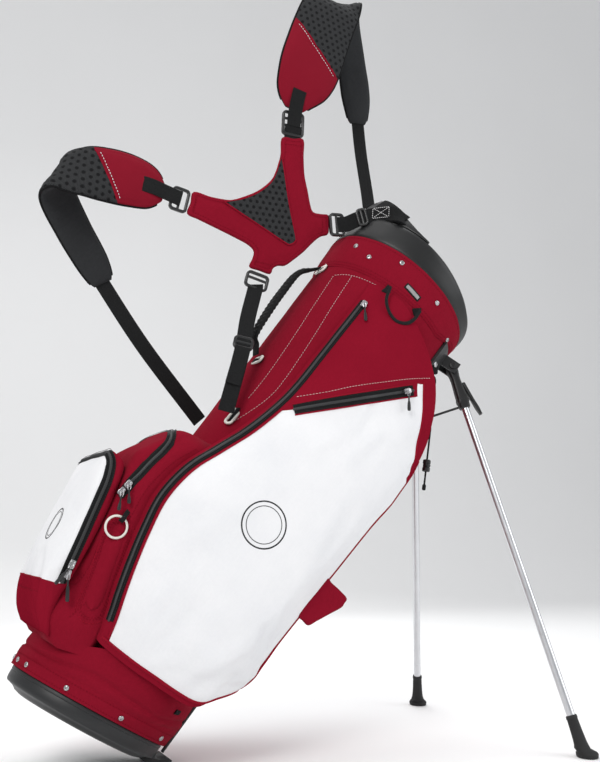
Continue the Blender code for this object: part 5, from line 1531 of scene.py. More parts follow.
def ladder(name, c, along, wide, out, W, L, T, body, rep=(), bars=(0.0,), mat="gloss", r=0.0024):
    """Moulded strap slide: a rounded frame with cross bars."""
    c, al, w, o = np.asarray(c, float), unit(along), None, unit(out)
    w = np.asarray(wide, float)
    w = unit(w - al * (w @ al))
    o = unit(np.cross(w, al)) * (1 if np.cross(w, al) @ o > 0 else -1)
    hw, hl = W / 2 - r, L / 2 - r
    path = rr_loop(c, w, al, hw, hl, 0.0050, 5, side=(4, 4))
    parts = []
    rings = []
    P = np.array(path)
    n = len(P)
    for i in range(n):
        t = unit(P[(i + 1) % n] - P[(i - 1) % n])
        s = np.cross(t, o)
        rings.append(rr_loop(P[i], s, o, r, T / 2, min(r, T / 2) * 0.8, 3))
    parts.append(loft_data(rings, closed=True))
    for b in bars:
        q = c + al * b
        bar = [rr_loop(q + w * x, al, o, r * 0.82, T / 2 * 0.72, 0.0012, 3) for x in np.linspace(-hw, hw, 6)]
        parts.append(loft_data(bar))
    V, F = join(parts)
    ob = add(name, V, F, body, mat, WORLD_M, rep=rep, sharp=40)
    return ob


def ribbon(name, P, wdir, width, thick, body, mat="web", rep=(), n=None, M=WORLD_M, ripple=0.0, fray=0.0):
    """Flat webbing along a path with rounded selvedges."""
    P = spline(np.array(P, float), n or max(12, int(length(P) / 0.004)))
    wd0 = np.asarray(wdir, float)
    if wd0.ndim == 2:
        Wd = catmull(wd0, np.linspace(0, len(wd0) - 1, len(P)))
    else:
        Wd = np.repeat(wd0[None, :], len(P), 0)
    T = np.gradient(P, axis=0)
    rings, uv = [], []
    run = 0.0
    prof = [(-1, -.4), (-.97, -.9), (-.85, -1), (-.6, -1), (-.3, -1), (0, -1), (.3, -1), (.6, -1), (.85, -1), (.97, -.9), (1, -.4),
            (1, .4), (.97, .9), (.85, 1), (.6, 1), (.3, 1), (0, 1), (-.3, 1), (-.6, 1), (-.85, 1), (-.97, .9), (-1, .4)]
    for i in range(len(P)):
        if i:
            run += float(np.linalg.norm(P[i] - P[i - 1]))
        t = unit(T[i])
        w = unit(Wd[i] - t * (Wd[i] @ t))
        nn = np.cross(t, w)
        bend = ripple * math.sin(run * 55.0)
        rings.append([P[i] + w * a * width / 2 + nn * (b * thick / 2 + bend + 0.0002 * math.sin(a * 3.1)) for a, b in prof])
        uv += [(a * width / 2, run, 0.0) for a, b in prof]
    V, F = loft_data(rings)
    while len(uv) < len(V):
        uv.append((0.0, 0.0, 0.0))
    return add(name, V, F, body, mat, M, rep=rep, attrs={"uvm": uv}, sharp=50)


def box_stitch(name, c, along, wide, out, hl, hw, body, mat="thread_w", cross=True):
    """A boxed X of stitches on a flat patch."""
    c, a, w, o = np.asarray(c, float), unit(along), unit(wide), unit(out)
    cor = [c + a * hl + w * hw, c - a * hl + w * hw, c - a * hl - w * hw, c + a * hl - w * hw]
    paths = []
    seq = [(0, 1), (1, 2), (2, 3), (3, 0)] + ([(0, 2), (1, 3)] if cross else [])
    for i, j in seq:
        W = np.array([cor[i] + (cor[j] - cor[i]) * f for f in np.linspace(0, 1, 8)])
        paths.append((W, np.repeat(o[None, :], 8, 0)))
    return stitch(name, paths, body, mat, dash=0.0026, gap=0.0008, r=0.00045, lift=0.0002)


# slides and webbing
ladder("slide_right_pad", (0.2125, -0.0230, 1.0010), (0.04, 0, 1), (1, 0, 0), (0, -1, 0), 0.0400, 0.0440, 0.0066, "bag", ("buckle_right_pad",), bars=(-0.004, 0.008))
ladder("slide_left_pad", (0.0186, -0.0230, 0.8414), (1, 0, -0.22), (0.22, 0, 1), (0, -1, 0), 0.0400, 0.0300, 0.0066, "bag", ("buckle_left_pad",))
ladder("slide_near_slot", (0.1490, -0.0240, 0.7240), (-0.25, 0, -1), (1, 0, -.25), (0, -1, 0), 0.0400, 0.0280, 0.0066, "bag", ("buckle_near_slot",), bars=(-0.003,))
ladder("slide_handle", (0.2898, -0.0300, 0.8348), (1, 0, 0.08), (-.08, 0, 1), (0, -1, 0), 0.0400, 0.0280, 0.0066, "bag", ("buckle_handle",))
WEB_W = 0.0245
ribbon("web_tab_right_pad", [(0.2125, -0.0268, 0.9960), (0.2135, -0.0285, 1.0150), (0.2165, -0.0345, 1.0420), (0.2195, -0.0372, 1.0570)], (1, 0, -.05), WEB_W, 0.0018, "bag")
ribbon("web_tab_left_pad", [(0.0204, -0.0262, 0.8414), (-0.0030, -0.0285, 0.8475), (-0.0250, -0.0345, 0.8515), (-0.0440, -0.0368, 0.8540)], (0.1, 0, 1), WEB_W, 0.0018, "bag")
ribbon("web_tab_hub_top", [(0.2115, -0.0238, 0.9700), (0.2120, -0.0238, 0.9850), (0.2125, -0.0258, 0.9970)], (1, 0, 0), 0.030, 0.0022, "bag", mat="web")
ribbon("web_right_pad", [(0.3730, 0.0490, 1.0660), (0.3740, 0.0495, 1.0530), (0.3770, 0.0450, 1.0000), (0.3800, 0.0300, 0.9250), (0.3770, 0.0170, 0.8890)], (1, 0, 0), WEB_W, 0.0018, "bag", rep=("webbing_right_pad",))
ribbon("web_left_pad", [(-0.0850, 0.0500, 0.7190), (-0.0770, 0.0505, 0.7060), (-0.0100, 0.0560, 0.6160), (0.0885, 0.0705, 0.5056)], [(1, 0, 0.6), (1, 0, 0.6), (1, 0, .8), (1, 0, .8)], WEB_W, 0.0018, "bag", rep=("webbing_left_pad",))
NEAR_WEB = [(0.1462, -0.0262, 0.7180), (0.1450, -0.0270, 0.7090), (0.1250, -0.0480, 0.6560), (0.1080, -0.0680, 0.5980), (0.0785, -0.0812, 0.5040)]
ribbon("web_near_slot", NEAR_WEB, (1, -0.25, -0.3), WEB_W, 0.0018, "bag", rep=("webbing_near_slot",))
# the tail that runs back down over the near webbing
NT = np.array(NEAR_WEB)
ribbon("web_near_tail", [NT[2] * .15 + NT[3] * .85 + np.array([-.0006, -.0034, -.0006]), NT[3] + np.array([-.0012, -.0040, -.0005]), NT[3] * .45 + NT[4] * .55 + np.array([-.0020, -.0040, 0])],
       (1, -0.25, -0.3), WEB_W * .96, 0.0016, "bag")
HW = [(0.2905, -0.0318, 0.8346), (0.3060, -0.0345, 0.8370), (0.3219, -0.0440, 0.8445), (0.3399, -0.0540, 0.8492), (0.3556, -0.0680, 0.8508), (0.3674, -0.0900, 0.8440), (0.3790, -0.0940, 0.8370), (0.3900, -0.0860, 0.8330)]
ribbon("web_handle", HW, [(-.2, 0, 1), (-.2, 0, 1), (-.2, .1, 1), (-.2, .2, 1), (-.15, .3, 1), (-.1, .4, 1), (-.1, .4, 1), (-.1, .4, 1)], 0.0260, 0.0020, "bag", rep=("webbing_handle",))
ribbon("web_handle_lap", [np.array(p) + np.array([-.0004, -.0026, 0.0004]) for p in HW[2:]], [(-.2, .1, 1), (-.2, .2, 1), (-.15, .3, 1), (-.1, .4, 1), (-.1, .4, 1), (-.1, .4, 1)], 0.0250, 0.0020, "bag")
run = unit(NT[3] - NT[2])
mid = NT[2] + (NT[3] - NT[2]) * 0.74
wd = unit(np.array([1, -.25, -.3]) - run * (np.array([1, -.25, -.3]) @ run))
nn_ = np.cross(run, wd)
ladder("strap_slide_near", mid, run, wd, nn_ if nn_[1] < 0 else -nn_, 0.0320, 0.0230, 0.0072, "strap_adjuster", ("strap_adjuster",), bars=(0.0,), mat="gloss", r=0.0024)


# ------------------------------------------------------------------ trim laid on the finished surfaces
T_POCKET_N, T_POCKET_F = bvh_of(POCKET_N), bvh_of(POCKET_F)
T_ALL = bvh_of(TUBE, POCKET_N, POCKET_F, ACC, BALL, CUFF_U)
T_ACC, T_BALL = bvh_of(ACC), bvh_of(BALL)
T_CUFF, T_TUBE = bvh_of(CUFF_U), bvh_of(TUBE)
T_LOW = bvh_of(CUFF_L)


def near(tree, pts, n=None, M=BAG_M, closed=False, passes=4, step=0.004):
    """A smooth path through 3-D points, dropped onto the nearest surface."""
    pts = np.asarray(pts, float)
    P = spline(pts, n or max(8, int(length(pts) / step)), closed)
    W, N = [], []
    for p in P:
        q, nn, _, _ = tree.find_nearest(M @ Vector(p))
        W.append(np.array(q))
        N.append(np.array(nn))
    W, N = np.array(W), np.array(N)
    for _ in range(passes):
        S, Q = N.copy(), W.copy()
        if closed:
            S = (np.roll(N, 1, 0) + 2 * N + np.roll(N, -1, 0)) / 4
            Q = (np.roll(W, 1, 0) + 2 * W + np.roll(W, -1, 0)) / 4
        else:
            S[1:-1] = (N[:-2] + 2 * N[1:-1] + N[2:]) / 4
            Q[1:-1] = (W[:-2] + 2 * W[1:-1] + W[2:]) / 4
        N = S / np.maximum(1e-9, np.linalg.norm(S, axis=1))[:, None]
        W = Q
    return W, N


def resample(W, N, step):
    L = np.concatenate([[0], np.cumsum(np.linalg.norm(np.diff(W, axis=0), axis=1))])
    s = np.arange(0, L[-1], step)
    return (np.stack([np.interp(s, L, W[:, d]) for d in range(3)], 1), np.stack([np.interp(s, L, N[:, d]) for d in range(3)], 1))


def zip_fastener(name, W, N, tree, body="bag", width=0.0135, coil=0.0021, rim=True):
    """Zip: woven tape, a toothed coil down its middle, and a stitched row each side."""
    tape("zip_tape_" + name, W, N, width, tree, body, "tape", lift=0.0003, thick=0.0007)
    W2, N2 = resample(W, N, 0.0008)
    tube("zip_coil_" + name, W2 + N2 * 0.0012, coil, body, "coil", WORLD_M, seg=8, squash=0.62, normals=N2,
         rfun=lambda i: 1.0 + 0.14 * math.sin(i * 2 * math.pi / 3.0))
    if rim:
        for k, sgn in (("a", 1), ("b", -1)):
            stitch("zip_rows_%s_%s" % (name, k), [(offset(W, N, sgn * width * 0.40, 0.0009), N)], body, "thread_g", dash=0.0028, gap=0.0010, r=0.00035)


# long garment zips, both sides
for side, s, tree in (("near", -1, T_POCKET_N), ("far", 1, T_POCKET_F)):
    pts = [(zip_centre(z), s * 0.3, z) for z in np.linspace(0.118, 0.733, 42)]
    W, N = lay(tree, pts, (0, -s, 0), BAG_M, back=0.0, step=0.004)
    zip_fastener("garment_" + side, W, N, tree)
    # crimson cord along the white panel's edge, its foot and its belly side
    pts = [(zip_centre(z) + 0.0080, s * 0.3, z) for z in np.linspace(0.100, 0.500, 34)]
    W, N = lay(tree, pts, (0, -s, 0), BAG_M, back=0.0)
    tube("panel_cord_edge_" + side, W + N * 0.0007, 0.0015, "bag", "piping", WORLD_M, normals=N)
    pts = [tuple(pocket_point(i, 0.0125, s)) for i in np.linspace(0.9, 8, 40)]
    W, N = near(tree, pts)
    tube("panel_cord_foot_" + side, W, 0.0021, "bag", "piping", WORLD_M, normals=N)
    pts = [tuple(pocket_point(6.12, w, s)) for w in np.linspace(0.015, 0.99, 46)]
    W, N = near(tree, pts)
    low = W, N
    pts = [(table(TRIM, q) * C38 - q * S38, s * 0.3, table(TRIM, q) * S38 + q * C38) for q in np.linspace(0.372, 0.4900, 26)]
    W, N = lay(tree, pts, (0, -s, 0), BAG_M, back=0.0)
    tube("panel_cord_trim_" + side, W, 0.0016, "bag", "piping", WORLD_M, normals=N)
    W, N = low
    tube("panel_cord_belly_" + side, W, 0.0023, "bag", "piping", WORLD_M, normals=N)

# upper zipped pocket on the near side
pts = [(x, -0.3, z) for x, z in ((-0.0565, 0.5105), (-0.034, 0.537), (0.015, 0.5935), (0.064, 0.650), (0.0735, 0.6605))]
W, N = lay(T_POCKET_N, pts, (0, 1, 0), BAG_M, back=0.0)
zip_fastener("upper", W, N, T_POCKET_N, width=0.0165, coil=0.0023)
tube("upper_zip_cord_low", offset(W, N, 0.0092, 0.0002), 0.0012, "bag", "piping", WORLD_M, normals=N)
tube("upper_zip_cord_top", offset(W, N, -0.0092, 0.0002), 0.0012, "bag", "piping", WORLD_M, normals=N)
pts = [(-0.0640, -0.3, 0.5300), (-0.034, -0.3, 0.5640), (-0.009, -0.3, 0.5960), (0.028, -0.3, 0.6380), (0.060, -0.3, 0.6730), (0.088, -0.3, 0.7000)]
lines = [lay(T_POCKET_N, pts, (0, 1, 0), BAG_M, back=0.0)]
stitch("upper_seam_stitching", lines, "bag", "thread", r=0.00050, dash=0.0034)

# accessory pocket zip, over the top of the pocket from side to side
A_PTS = [(-0.1768, -0.104, 0.256), (-0.1740, -0.104, 0.276), (-0.1705, -0.104, 0.312), (-0.1670, -0.104, 0.344), (-0.1640, -0.0950, 0.3640), (-0.1630, -0.0760, 0.3780),
         (-0.1620, -0.040, 0.3870), (-0.1620, 0.0, 0.3890), (-0.1620, 0.040, 0.3870), (-0.1630, 0.0760, 0.3780), (-0.1640, 0.0950, 0.3640), (-0.1670, 0.104, 0.344), (-0.1705, 0.104, 0.312), (-0.1740, 0.104, 0.276)]
W, N = near(T_ACC, A_PTS)
zip_fastener("accessory", W, N, T_ACC, width=0.0150)
# ball pocket zip, up one side, over the top and down the other
B_SIDE = [(ball_zip_x(z), -0.104, z) for z in (0.120, 0.133, 0.1471, 0.1767, 0.2162, 0.2450, 0.2607, 0.2760)]
B_TOP = [(-0.2110, -0.0990, 0.2860), (-0.2180, -0.0960, 0.2925), (-0.2250, -0.0860, 0.2960), (-0.2260, -0.0500, 0.2970)]
B_PTS = B_SIDE + B_TOP + [(-0.2265, 0.0, 0.2975)] + [(x, -y, z) for x, y, z in B_TOP[::-1]] + [(x, -y, z) for x, y, z in B_SIDE[::-1]]
W, N = near(T_BALL, B_PTS)
zip_fastener("ball", W, N, T_BALL, width=0.0150)
# seam across the ball pocket's foot
pts = [(-0.1840, y, 0.1085) for y in np.linspace(-0.090, 0.090, 30)]
W, N = near(T_BALL, pts)
tube("ball_seam_cord", W, 0.0011, "bag", "piping", WORLD_M, normals=N)
stitch("ball_seam_stitching", [near(T_BALL, [(-0.1760, y, 0.0930) for y in np.linspace(-0.088, 0.088, 30)])], "bag", "thread_r")

# pen channel: a low ridge with two rows of stitches round it
c0, c1 = np.array([-0.1075, -0.104, 0.1160]), np.array([-0.1440, -0.104, 0.2180])
W, N = near(T_ACC, [c0 + (c1 - c0) * f for f in np.linspace(0, 1, 12)])
tape("pen_channel", W, N, lambda f: 0.0250 * math.sqrt(max(0.03, 1 - abs(2 * f - 1) ** 7)), T_ACC, "bag", "crimson", lift=0.0, thick=0.0004, nx=12, crown=0.0024)


def oval(c0, c1, half):
    d = unit(c1 - c0)
    w = unit(np.cross(d, [0, 1, 0]))
    pts = []
    for c, a0 in ((c1, 0), (c0, 180)):
        for a in np.linspace(a0, a0 + 180, 12):
            pts.append(c + w * half * math.cos(math.radians(a)) + d * half * math.sin(math.radians(a)) * 0.9)
    return pts


lines = []
for half in (0.0142, 0.0168, 0.0215):
    o = oval(c0, c1, half)
    W, N = near(T_ACC, o, closed=True, step=0.003)
    lines.append((np.vstack([W, W[:1]]), np.vstack([N, N[:1]])))
stitch("pen_channel_stitching", lines, "bag", "thread_r", r=0.00045)
tube("pen_channel_cord", lines[2][0][:-1], 0.0009, "bag", "piping", WORLD_M, closed=True, normals=lines[2][1][:-1])
# seams on the accessory pocket: near its front corner and its foot
lines = []
for s in (-1, 1):
    lines.append(near(T_ACC, [(x, s * 0.104, z) for x, z in ((-0.160, 0.105), (-0.150, 0.130), (-0.1520, 0.160), (-0.1590, 0.200), (-0.1660, 0.232))]))
    lines.append(near(T_ACC, [(x, s * 0.104, z) for x, z in ((-0.1240, 0.090), (-0.1180, 0.130), (-0.128, 0.180), (-0.1420, 0.240), (-0.1500, 0.290), (-0.1440, 0.340), (-0.1280, 0.380))]))
stitch("accessory_stitching", lines, "bag", "thread_r")

# spine seams
lines = []
A = [(-0.099, -0.081, 0.769), (-0.094, -0.084, 0.696), (-0.088, -0.087, 0.624), (-0.085, -0.088, 0.570), (-0.085, -0.086, 0.522), (-0.094, -0.076, 0.482), (-0.104, -0.063, 0.451)]
B = [(-0.117, -0.055, 0.760), (-0.112, -0.059, 0.681), (-0.107, -0.064, 0.601), (-0.105, -0.065, 0.535), (-0.105, -0.063, 0.499)]
for s in (1, -1):
    lines.append(near(T_TUBE, [(x, y * s, z) for x, y, z in A]))
    lines.append(near(T_TUBE, [(x, y * s, z) for x, y, z in B]))
lines.append(near(T_TUBE, [(-0.117, -0.055, 0.760), (-0.108, -0.069, 0.766), (-0.099, -0.081, 0.769), (-0.080, -0.100, 0.771), (-0.060, -0.110, 0.7722)]))
stitch("spine_stitching", lines, "bag", "thread", r=0.00050, dash=0.0034)

# upper cuff: lower hem and top hem
def around(zfun, M=BAG_M, n=150, r=0.17):
    pts = []
    for j in range(n):
        phi = 2 * math.pi * j / n
        pts.append((r * math.cos(phi), r * 0.94 * math.sin(phi), zfun(phi)))
    return pts


def ring_on(tree, pts, M=BAG_M, centre=(0, 0)):
    W, N = [], []
    for p in pts:
        d = Vector((centre[0] - p[0], centre[1] - p[1], 0.0))
        q, nn = cast(tree, p, d, M)
        if q is None:
            q, nn, _, _ = tree.find_nearest(M @ Vector(p))
        W.append(np.array(q))
        N.append(np.array(nn))
    for _ in range(2):
        W = list((np.roll(W, 1, 0) + 2 * np.array(W) + np.roll(W, -1, 0)) / 4)
    return np.array(W), np.array(N)


hem = []
for dz in (0.0035, 0.0085):
    W, N = ring_on(T_CUFF, around(lambda p: cuff_low(p) + dz))
    hem.append((np.vstack([W, W[:1]]), np.vstack([N, N[:1]])))
W, N = ring_on(T_CUFF, around(lambda p: -0.0060), COL_M)
hem.append((np.vstack([W, W[:1]]), np.vstack([N, N[:1]])))
stitch("cuff_stitching", hem, "bag", "thread_r")


def rivets(name, spots, tree, body, mat="steel", r=0.0040, M=BAG_M):
    parts, eyes = [], []
    for p in spots:
        q, nn, _, _ = tree.find_nearest(M @ Vector(p))
        c, n = np.array(q), np.array(nn)
        x = unit(np.cross(n, [0.3, 0.1, 0.9]))
        parts.append(revolve_data([(0, -.0010), (r * 1.05, -.0010), (r * 1.08, .0003), (r * .98, .0012), (r * .70, .0019), (r * .42, .0019), (r * .34, .0012), (r * .30, .0007), (0, .0006)], c, n, x, 22))
    V, F = join(parts)
    return add(name, V, F, body, mat, WORLD_M, sharp=45)


UP = [(-0.1204, -0.0632, 0.8238), (-0.0979, -0.0900, 0.8102), (-0.0554, -0.1191, 0.8277), (0.0294, -0.1269, 0.8157), (0.0923, -0.0927, 0.7996)]
rivets("cuff_rivets", UP + [(x, -y, z) for x, y, z in UP], T_CUFF, "bag")

# towel loop, its tabs, the woven label and the glove patch
TL = [(-0.049, -0.1275, 0.7760), (-0.044, -0.1335, 0.7520), (-0.030, -0.1380, 0.7370), (-0.012, -0.1400, 0.7330), (0.004, -0.1395, 0.7430), (0.011, -0.1370, 0.7590), (0.012, -0.1335, 0.7790)]
P = spline(np.array(TL), 60)
tube("towel_loop_band", P, 0.0029, "towel_loop", "web", BAG_M, seg=12, squash=0.55, normals=np.repeat([[0.0, -1.0, 0.15]], 60, 0), rep=("towel_loop",), attrs=None)


def patch(name, c, u, v, outline, thick, body, mat, tree, M=BAG_M, lift=0.0):
    """A small flat patch laid on a surface: outline in metres along u and v."""
    q = np.array(outline, float)
    out = []
    for i in range(len(q)):
        p0, p1, p2 = q[i - 1], q[i], q[(i + 1) % len(q)]
        r = min(0.0010, np.linalg.norm(p0 - p1) / 2.5, np.linalg.norm(p2 - p1) / 2.5)
        e0, e2 = p1 + unit(p0 - p1) * r, p1 + unit(p2 - p1) * r
        out += [e0 * (1 - t) ** 2 + p1 * 2 * t * (1 - t) + e2 * t * t for t in (0.0, 0.35, 0.65, 1.0)]
        m = int(np.linalg.norm(p2 - p1) / 0.0022)
        e3 = p2 + unit(p1 - p2) * min(0.0010, np.linalg.norm(p1 - p2) / 2.5)
        out += [e2 + (e3 - e2) * k / (m + 1) for k in range(1, m + 1)]
    out = np.array(out)
    c = np.asarray(c, float)
    u = unit(u)
    v = unit(np.asarray(v, float) - u * (np.asarray(v, float) @ u))
    w = np.cross(u, v)
    q, nn, _, _ = tree.find_nearest(M @ Vector(c))
    nn = np.array(M.to_3x3().inverted() @ Vector(nn))
    if w @ nn < 0:
        w = -w

    def plane(a, b, h):
        p = c + u * a + v * b
        q, nn, _, _ = tree.find_nearest(M @ Vector(p + w * 0.004))
        q = np.array(M.inverted() @ q)
        return tuple(q + w * (lift + h))
    V, F, UV, nf = puffy(out, lambda a, b, d: edge_round(d, 0.0010, thick), plane, grid=0.0022, insets=(0.0003, 0.0008), back=0.8, clear=0.0018)
    return add(name, V, F, body, mat, M, attrs={"uvm": UV}, sharp=50)


patch("towel_tab_a", (-0.0490, -0.114, 0.7740), (1, 0, 0), (0, 0, 1), [(-.0065, -.008), (-.0035, .0095), (.0100, -.0005), (.0020, -.0080)], 0.0016, "bag", "web", T_ALL)
patch("towel_tab_b", (0.0120, -0.123, 0.7790), (1, 0, 0), (0, 0, 1), [(-.0100, -.002), (.0010, .0100), (.0080, -.0060), (-.0010, -.0085)], 0.0016, "bag", "web", T_ALL)
LC = np.array([-0.0150, -0.1275, 0.7975])
LD = unit(np.array([1.0, 0.0, -0.10]))
patch("blank_label_border", LC, LD, (0, 0, 1), [(-.0170, -.0056), (.0, -.0057), (.0170, -.0056), (.0171, .0), (.0170, .0056), (-.0170, .0056)], 0.0009, "bag", "web", T_CUFF)
patch("blank_label", LC, LD, (0, 0, 1), [(-.0145, -.0034), (.0, -.0035), (.0145, -.0034), (.0145, .0034), (-.0145, .0034)], 0.0013, "bag", "label", T_CUFF)
GP = np.array([0.1022, -0.0830, 0.7552])
GU, GV = unit(np.array([0.788, 0.0, 0.6157]) * 0.90 + np.array([0.0, 0.44, 0.0])), np.array([-0.6157, 0.0, 0.788])
GN = unit(np.cross(GU, GV))
GN = GN if GN[1] < 0 else -GN
GO = spline(np.array([(-.0080, -.0120), (-.0040, -.0160), (.0050, -.0160), (.0085, -.0110), (.0090, .0080), (.0060, .0155), (-.0020, .0165), (-.0085, .0080)]), 60, closed=True)
V, F, UV, nf = puffy(GO, lambda a, b, d: edge_round(d, 0.0012, 0.0020), lambda a, b, h: GP + GU * a + GV * b + GN * h, grid=0.0024, back=0.8)
add("glove_patch", V, F, "bag", "black_cloth", BAG_M, attrs={"uvm": UV}, sharp=50)
rivets("glove_patch_rivet", [tuple(GP + GN * 0.004)], bvh_of(bpy.data.objects["glove_patch"]), "bag", r=0.0050)


# moulded strap slots in off-white, and the padded grab handle
def slot_frame(name, c, along, out, node, W=0.0375, L=0.0150):
    al = unit(along)
    o = unit(np.asarray(out, float) - al * (np.asarray(out, float) @ al))
    short = np.cross(o, al)
    R = lambda v: np.array(BAG_M.to_3x3() @ Vector(v))
    q, nn, _, _ = T_TUBE.find_nearest(BAG_M @ Vector(c))
    cc = np.array(q) + R(o) * 0.0016
    ladder(name, cc, R(short), R(al), R(o), W, L, 0.0034, "bag", (node,), bars=(), mat="bone", r=0.0021)
    inner = [(-W / 2 + .003, -L / 2 + .003), (W / 2 - .003, -L / 2 + .003), (W / 2 - .003, L / 2 - .003), (-W / 2 + .003, L / 2 - .003)]
    patch(name + "_web", c, al, short, inner, 0.0012, "bag", "web", T_TUBE, lift=0.0004)


slot_frame("slot_handle_lower", (-0.1405, -0.033, 0.5710), (0, 1, 0), (-1, -.25, 0), "handle_anchor_lower")
slot_frame("slot_handle_upper", (-0.1435, -0.013, 0.7745), (0, 1, 0), (-1, -.1, 0), "handle_anchor_upper")
slot_frame("slot_strap_near", (-0.1205, -0.0700, 0.4640), (-0.10, -0.26, -0.96), (-0.75, -0.62, 0.2), "strap_slot_near")
slot_frame("slot_strap_far", (-0.1205, 0.0700, 0.4640), (-0.10, 0.26, -0.96), (-0.75, 0.62, 0.2), "strap_slot_far")

GH = [((-0.1330, -0.0330, 0.5740), (0, 1, 0), 0.023, 0.0030), ((-0.1420, -0.0330, 0.5860), (0, 1, 0), 0.024, 0.0042), ((-0.1540, -0.0330, 0.5960), (0, 1, 0), 0.028, 0.0080),
      ((-0.1600, -0.0310, 0.6400), (0, 1, 0), 0.030, 0.0098), ((-0.1620, -0.0260, 0.6880), (0, 1, 0), 0.030, 0.0098),
      ((-0.1600, -0.0190, 0.7340), (0, 1, 0), 0.028, 0.0084), ((-0.1450, -0.0130, 0.7600), (0, 1, 0), 0.024, 0.0042), ((-0.1365, -0.0130, 0.7720), (0, 1, 0), 0.023, 0.0030)]


def build_grab():
    n = 150
    C = np.array([g[0] for g in GH])
    P = spline(C, n)
    L = length(P)
    wt = catmull(np.array([[g[2], g[3]] for g in GH]), np.interp(np.linspace(0, 1, n), np.concatenate([[0], np.cumsum(np.linalg.norm(np.diff(C, axis=0), axis=1))]) / length(C), np.arange(len(C))))
    fr = frames(P, hint=(0, 1, 0))
    rings, uv = [], []
    for i, (p, (t, w, s)) in enumerate(zip(P, fr)):
        f = i / (n - 1)
        pad = smooth(0.10, 0.16, f) * (1 - smooth(0.84, 0.90, f))
        rib = 0.0009 * math.sin(2 * math.pi * f * L / 0.0085) * pad
        loop = []
        for j in range(24):
            a = 2 * math.pi * j / 24
            ca, sa = math.cos(a), math.sin(a)
            x = abs(ca) ** 0.5 * (1 if ca >= 0 else -1)
            y = abs(sa) ** 0.75 * (1 if sa >= 0 else -1)
            loop.append(p + w * x * wt[i][0] / 2 + s * y * (wt[i][1] / 2 + rib))
            uv.append((x * wt[i][0] / 2, f * L, 0.0))
        rings.append(loop)
    V, F = loft_data(rings)
    while len(uv) < len(V):
        uv.append((0, 0, 0))
    return add("grab_handle_pad", V, F, "bag", "web", BAG_M, rep=("grab_handle",), attrs={"uvm": uv}, sharp=0)


build_grab()

# tool ring with its hanging tab
RC = np.array([-0.1510, -0.1095, 0.2200])
ringp = [RC + np.array([math.cos(a), 0, math.sin(a)]) * 0.0150 for a in np.linspace(0, 2 * math.pi, 73)[:-1]]
tube("tool_ring_split", ringp, 0.0017, "tool_ring", "bone", BAG_M, seg=12, closed=True, normals=np.repeat([[0.0, 1.0, 0.0]], 72, 0), rep=("tool_ring",))
q, nn, _, _ = T_ACC.find_nearest(BAG_M @ Vector((-0.1520, -0.108, 0.2460)))
q = np.array(BAG_M.inverted() @ q)
ribbon("tool_ring_tab", [q + np.array([0.0, 0.0005, 0.002])] + [np.array(p) for p in ((-0.1517, -0.1118, 0.2402), (-0.1512, -0.1138, 0.2355), (-0.1510, -0.1128, 0.2304), (-0.1510, -0.1090, 0.2290), (-0.1510, -0.1064, 0.2312))],
       (1, 0, 0.05), 0.0066, 0.0010, "bag", M=BAG_M)

# elastic cord, knots and barrel lock
CORD = [(0.0975, -0.1000, 0.7300), (0.1120, -0.1020, 0.7250), (0.1270, -0.1000, 0.6960), (0.1540, -0.1000, 0.6550), (0.2000, -0.1000, 0.5730)]
P = np.vstack([spline(np.array(CORD[:4]), 50), np.linspace(CORD[3], CORD[4], 24)[1:]])
tube("elastic_cord", P, 0.0015, "bag", "web", BAG_M, seg=10, rep=("bungee_cord",), rfun=lambda i: 1 + 0.05 * math.sin(i * 2.1), attrs=None)
tube("elastic_cord_knot", [np.array(CORD[4]) + unit(np.array(CORD[4]) - np.array(CORD[3])) * d for d in (-0.004, -0.001, 0.002)], 0.0030, "bag", "web", BAG_M, seg=12, attrs=None)
cd = unit(np.array(CORD[4]) - np.array(CORD[3]))
cc = np.array(CORD[3]) * 0.38 + np.array(CORD[4]) * 0.62
parts = []
x_ = unit(np.cross(cd, [0, 1, 0]))
prof = [(0.0020, -.0095), (.0050, -.0095), (.0060, -.0085), (.0062, -.0040), (.0055, -.0030), (.0055, .0030), (.0062, .0040), (.0060, .0085), (.0050, .0095), (.0020, .0095)]
rings = [[cc + cd * h + (x_ * math.cos(a) + np.cross(cd, x_) * math.sin(a) * 1.08) * r for a in np.linspace(0, 2 * math.pi, 29)[:-1]] for r, h in prof]
V, F = loft_data(rings, closed=True)
btn = revolve_data([(0, .0), (.0030, .0), (.0032, .0012), (.0024, .0018), (0, .0018)], cc + np.array([0, -0.0060, 0]), (0, -1, 0), cd, 16)
V, F = join([(V, F), btn])
add("cord_lock_barrel", V, F, "cord_lock", "black", BAG_M, rep=("cord_lock",), sharp=40)

# umbrella loop on the belly edge
US = [(.1380, .3535), (.1360, .320), (.1360, .2870), (.1480, .2835), (.1590, .2835), (.1660, .2960), (.1760, .3150), (.1862, .3340), (.1868, .3420), (.1855, .3510), (.1700, .3535), (.1530, .3540)]
V, F, UV, nf = puffy(spline(np.array(US), 90, closed=True), lambda u, v, d: edge_round(d, 0.0035, 0.0046) - 0.0010 * math.exp(-((d - 0.0050) / 0.0011) ** 2),
                     lambda u, v, h: (u, -0.1175 - h, v), grid=0.0045, back=1.0)
add("umbrella_loop_cloth", V, F, "bag", "crimson", BAG_M, rep=("umbrella_sleeve",), sharp=60)
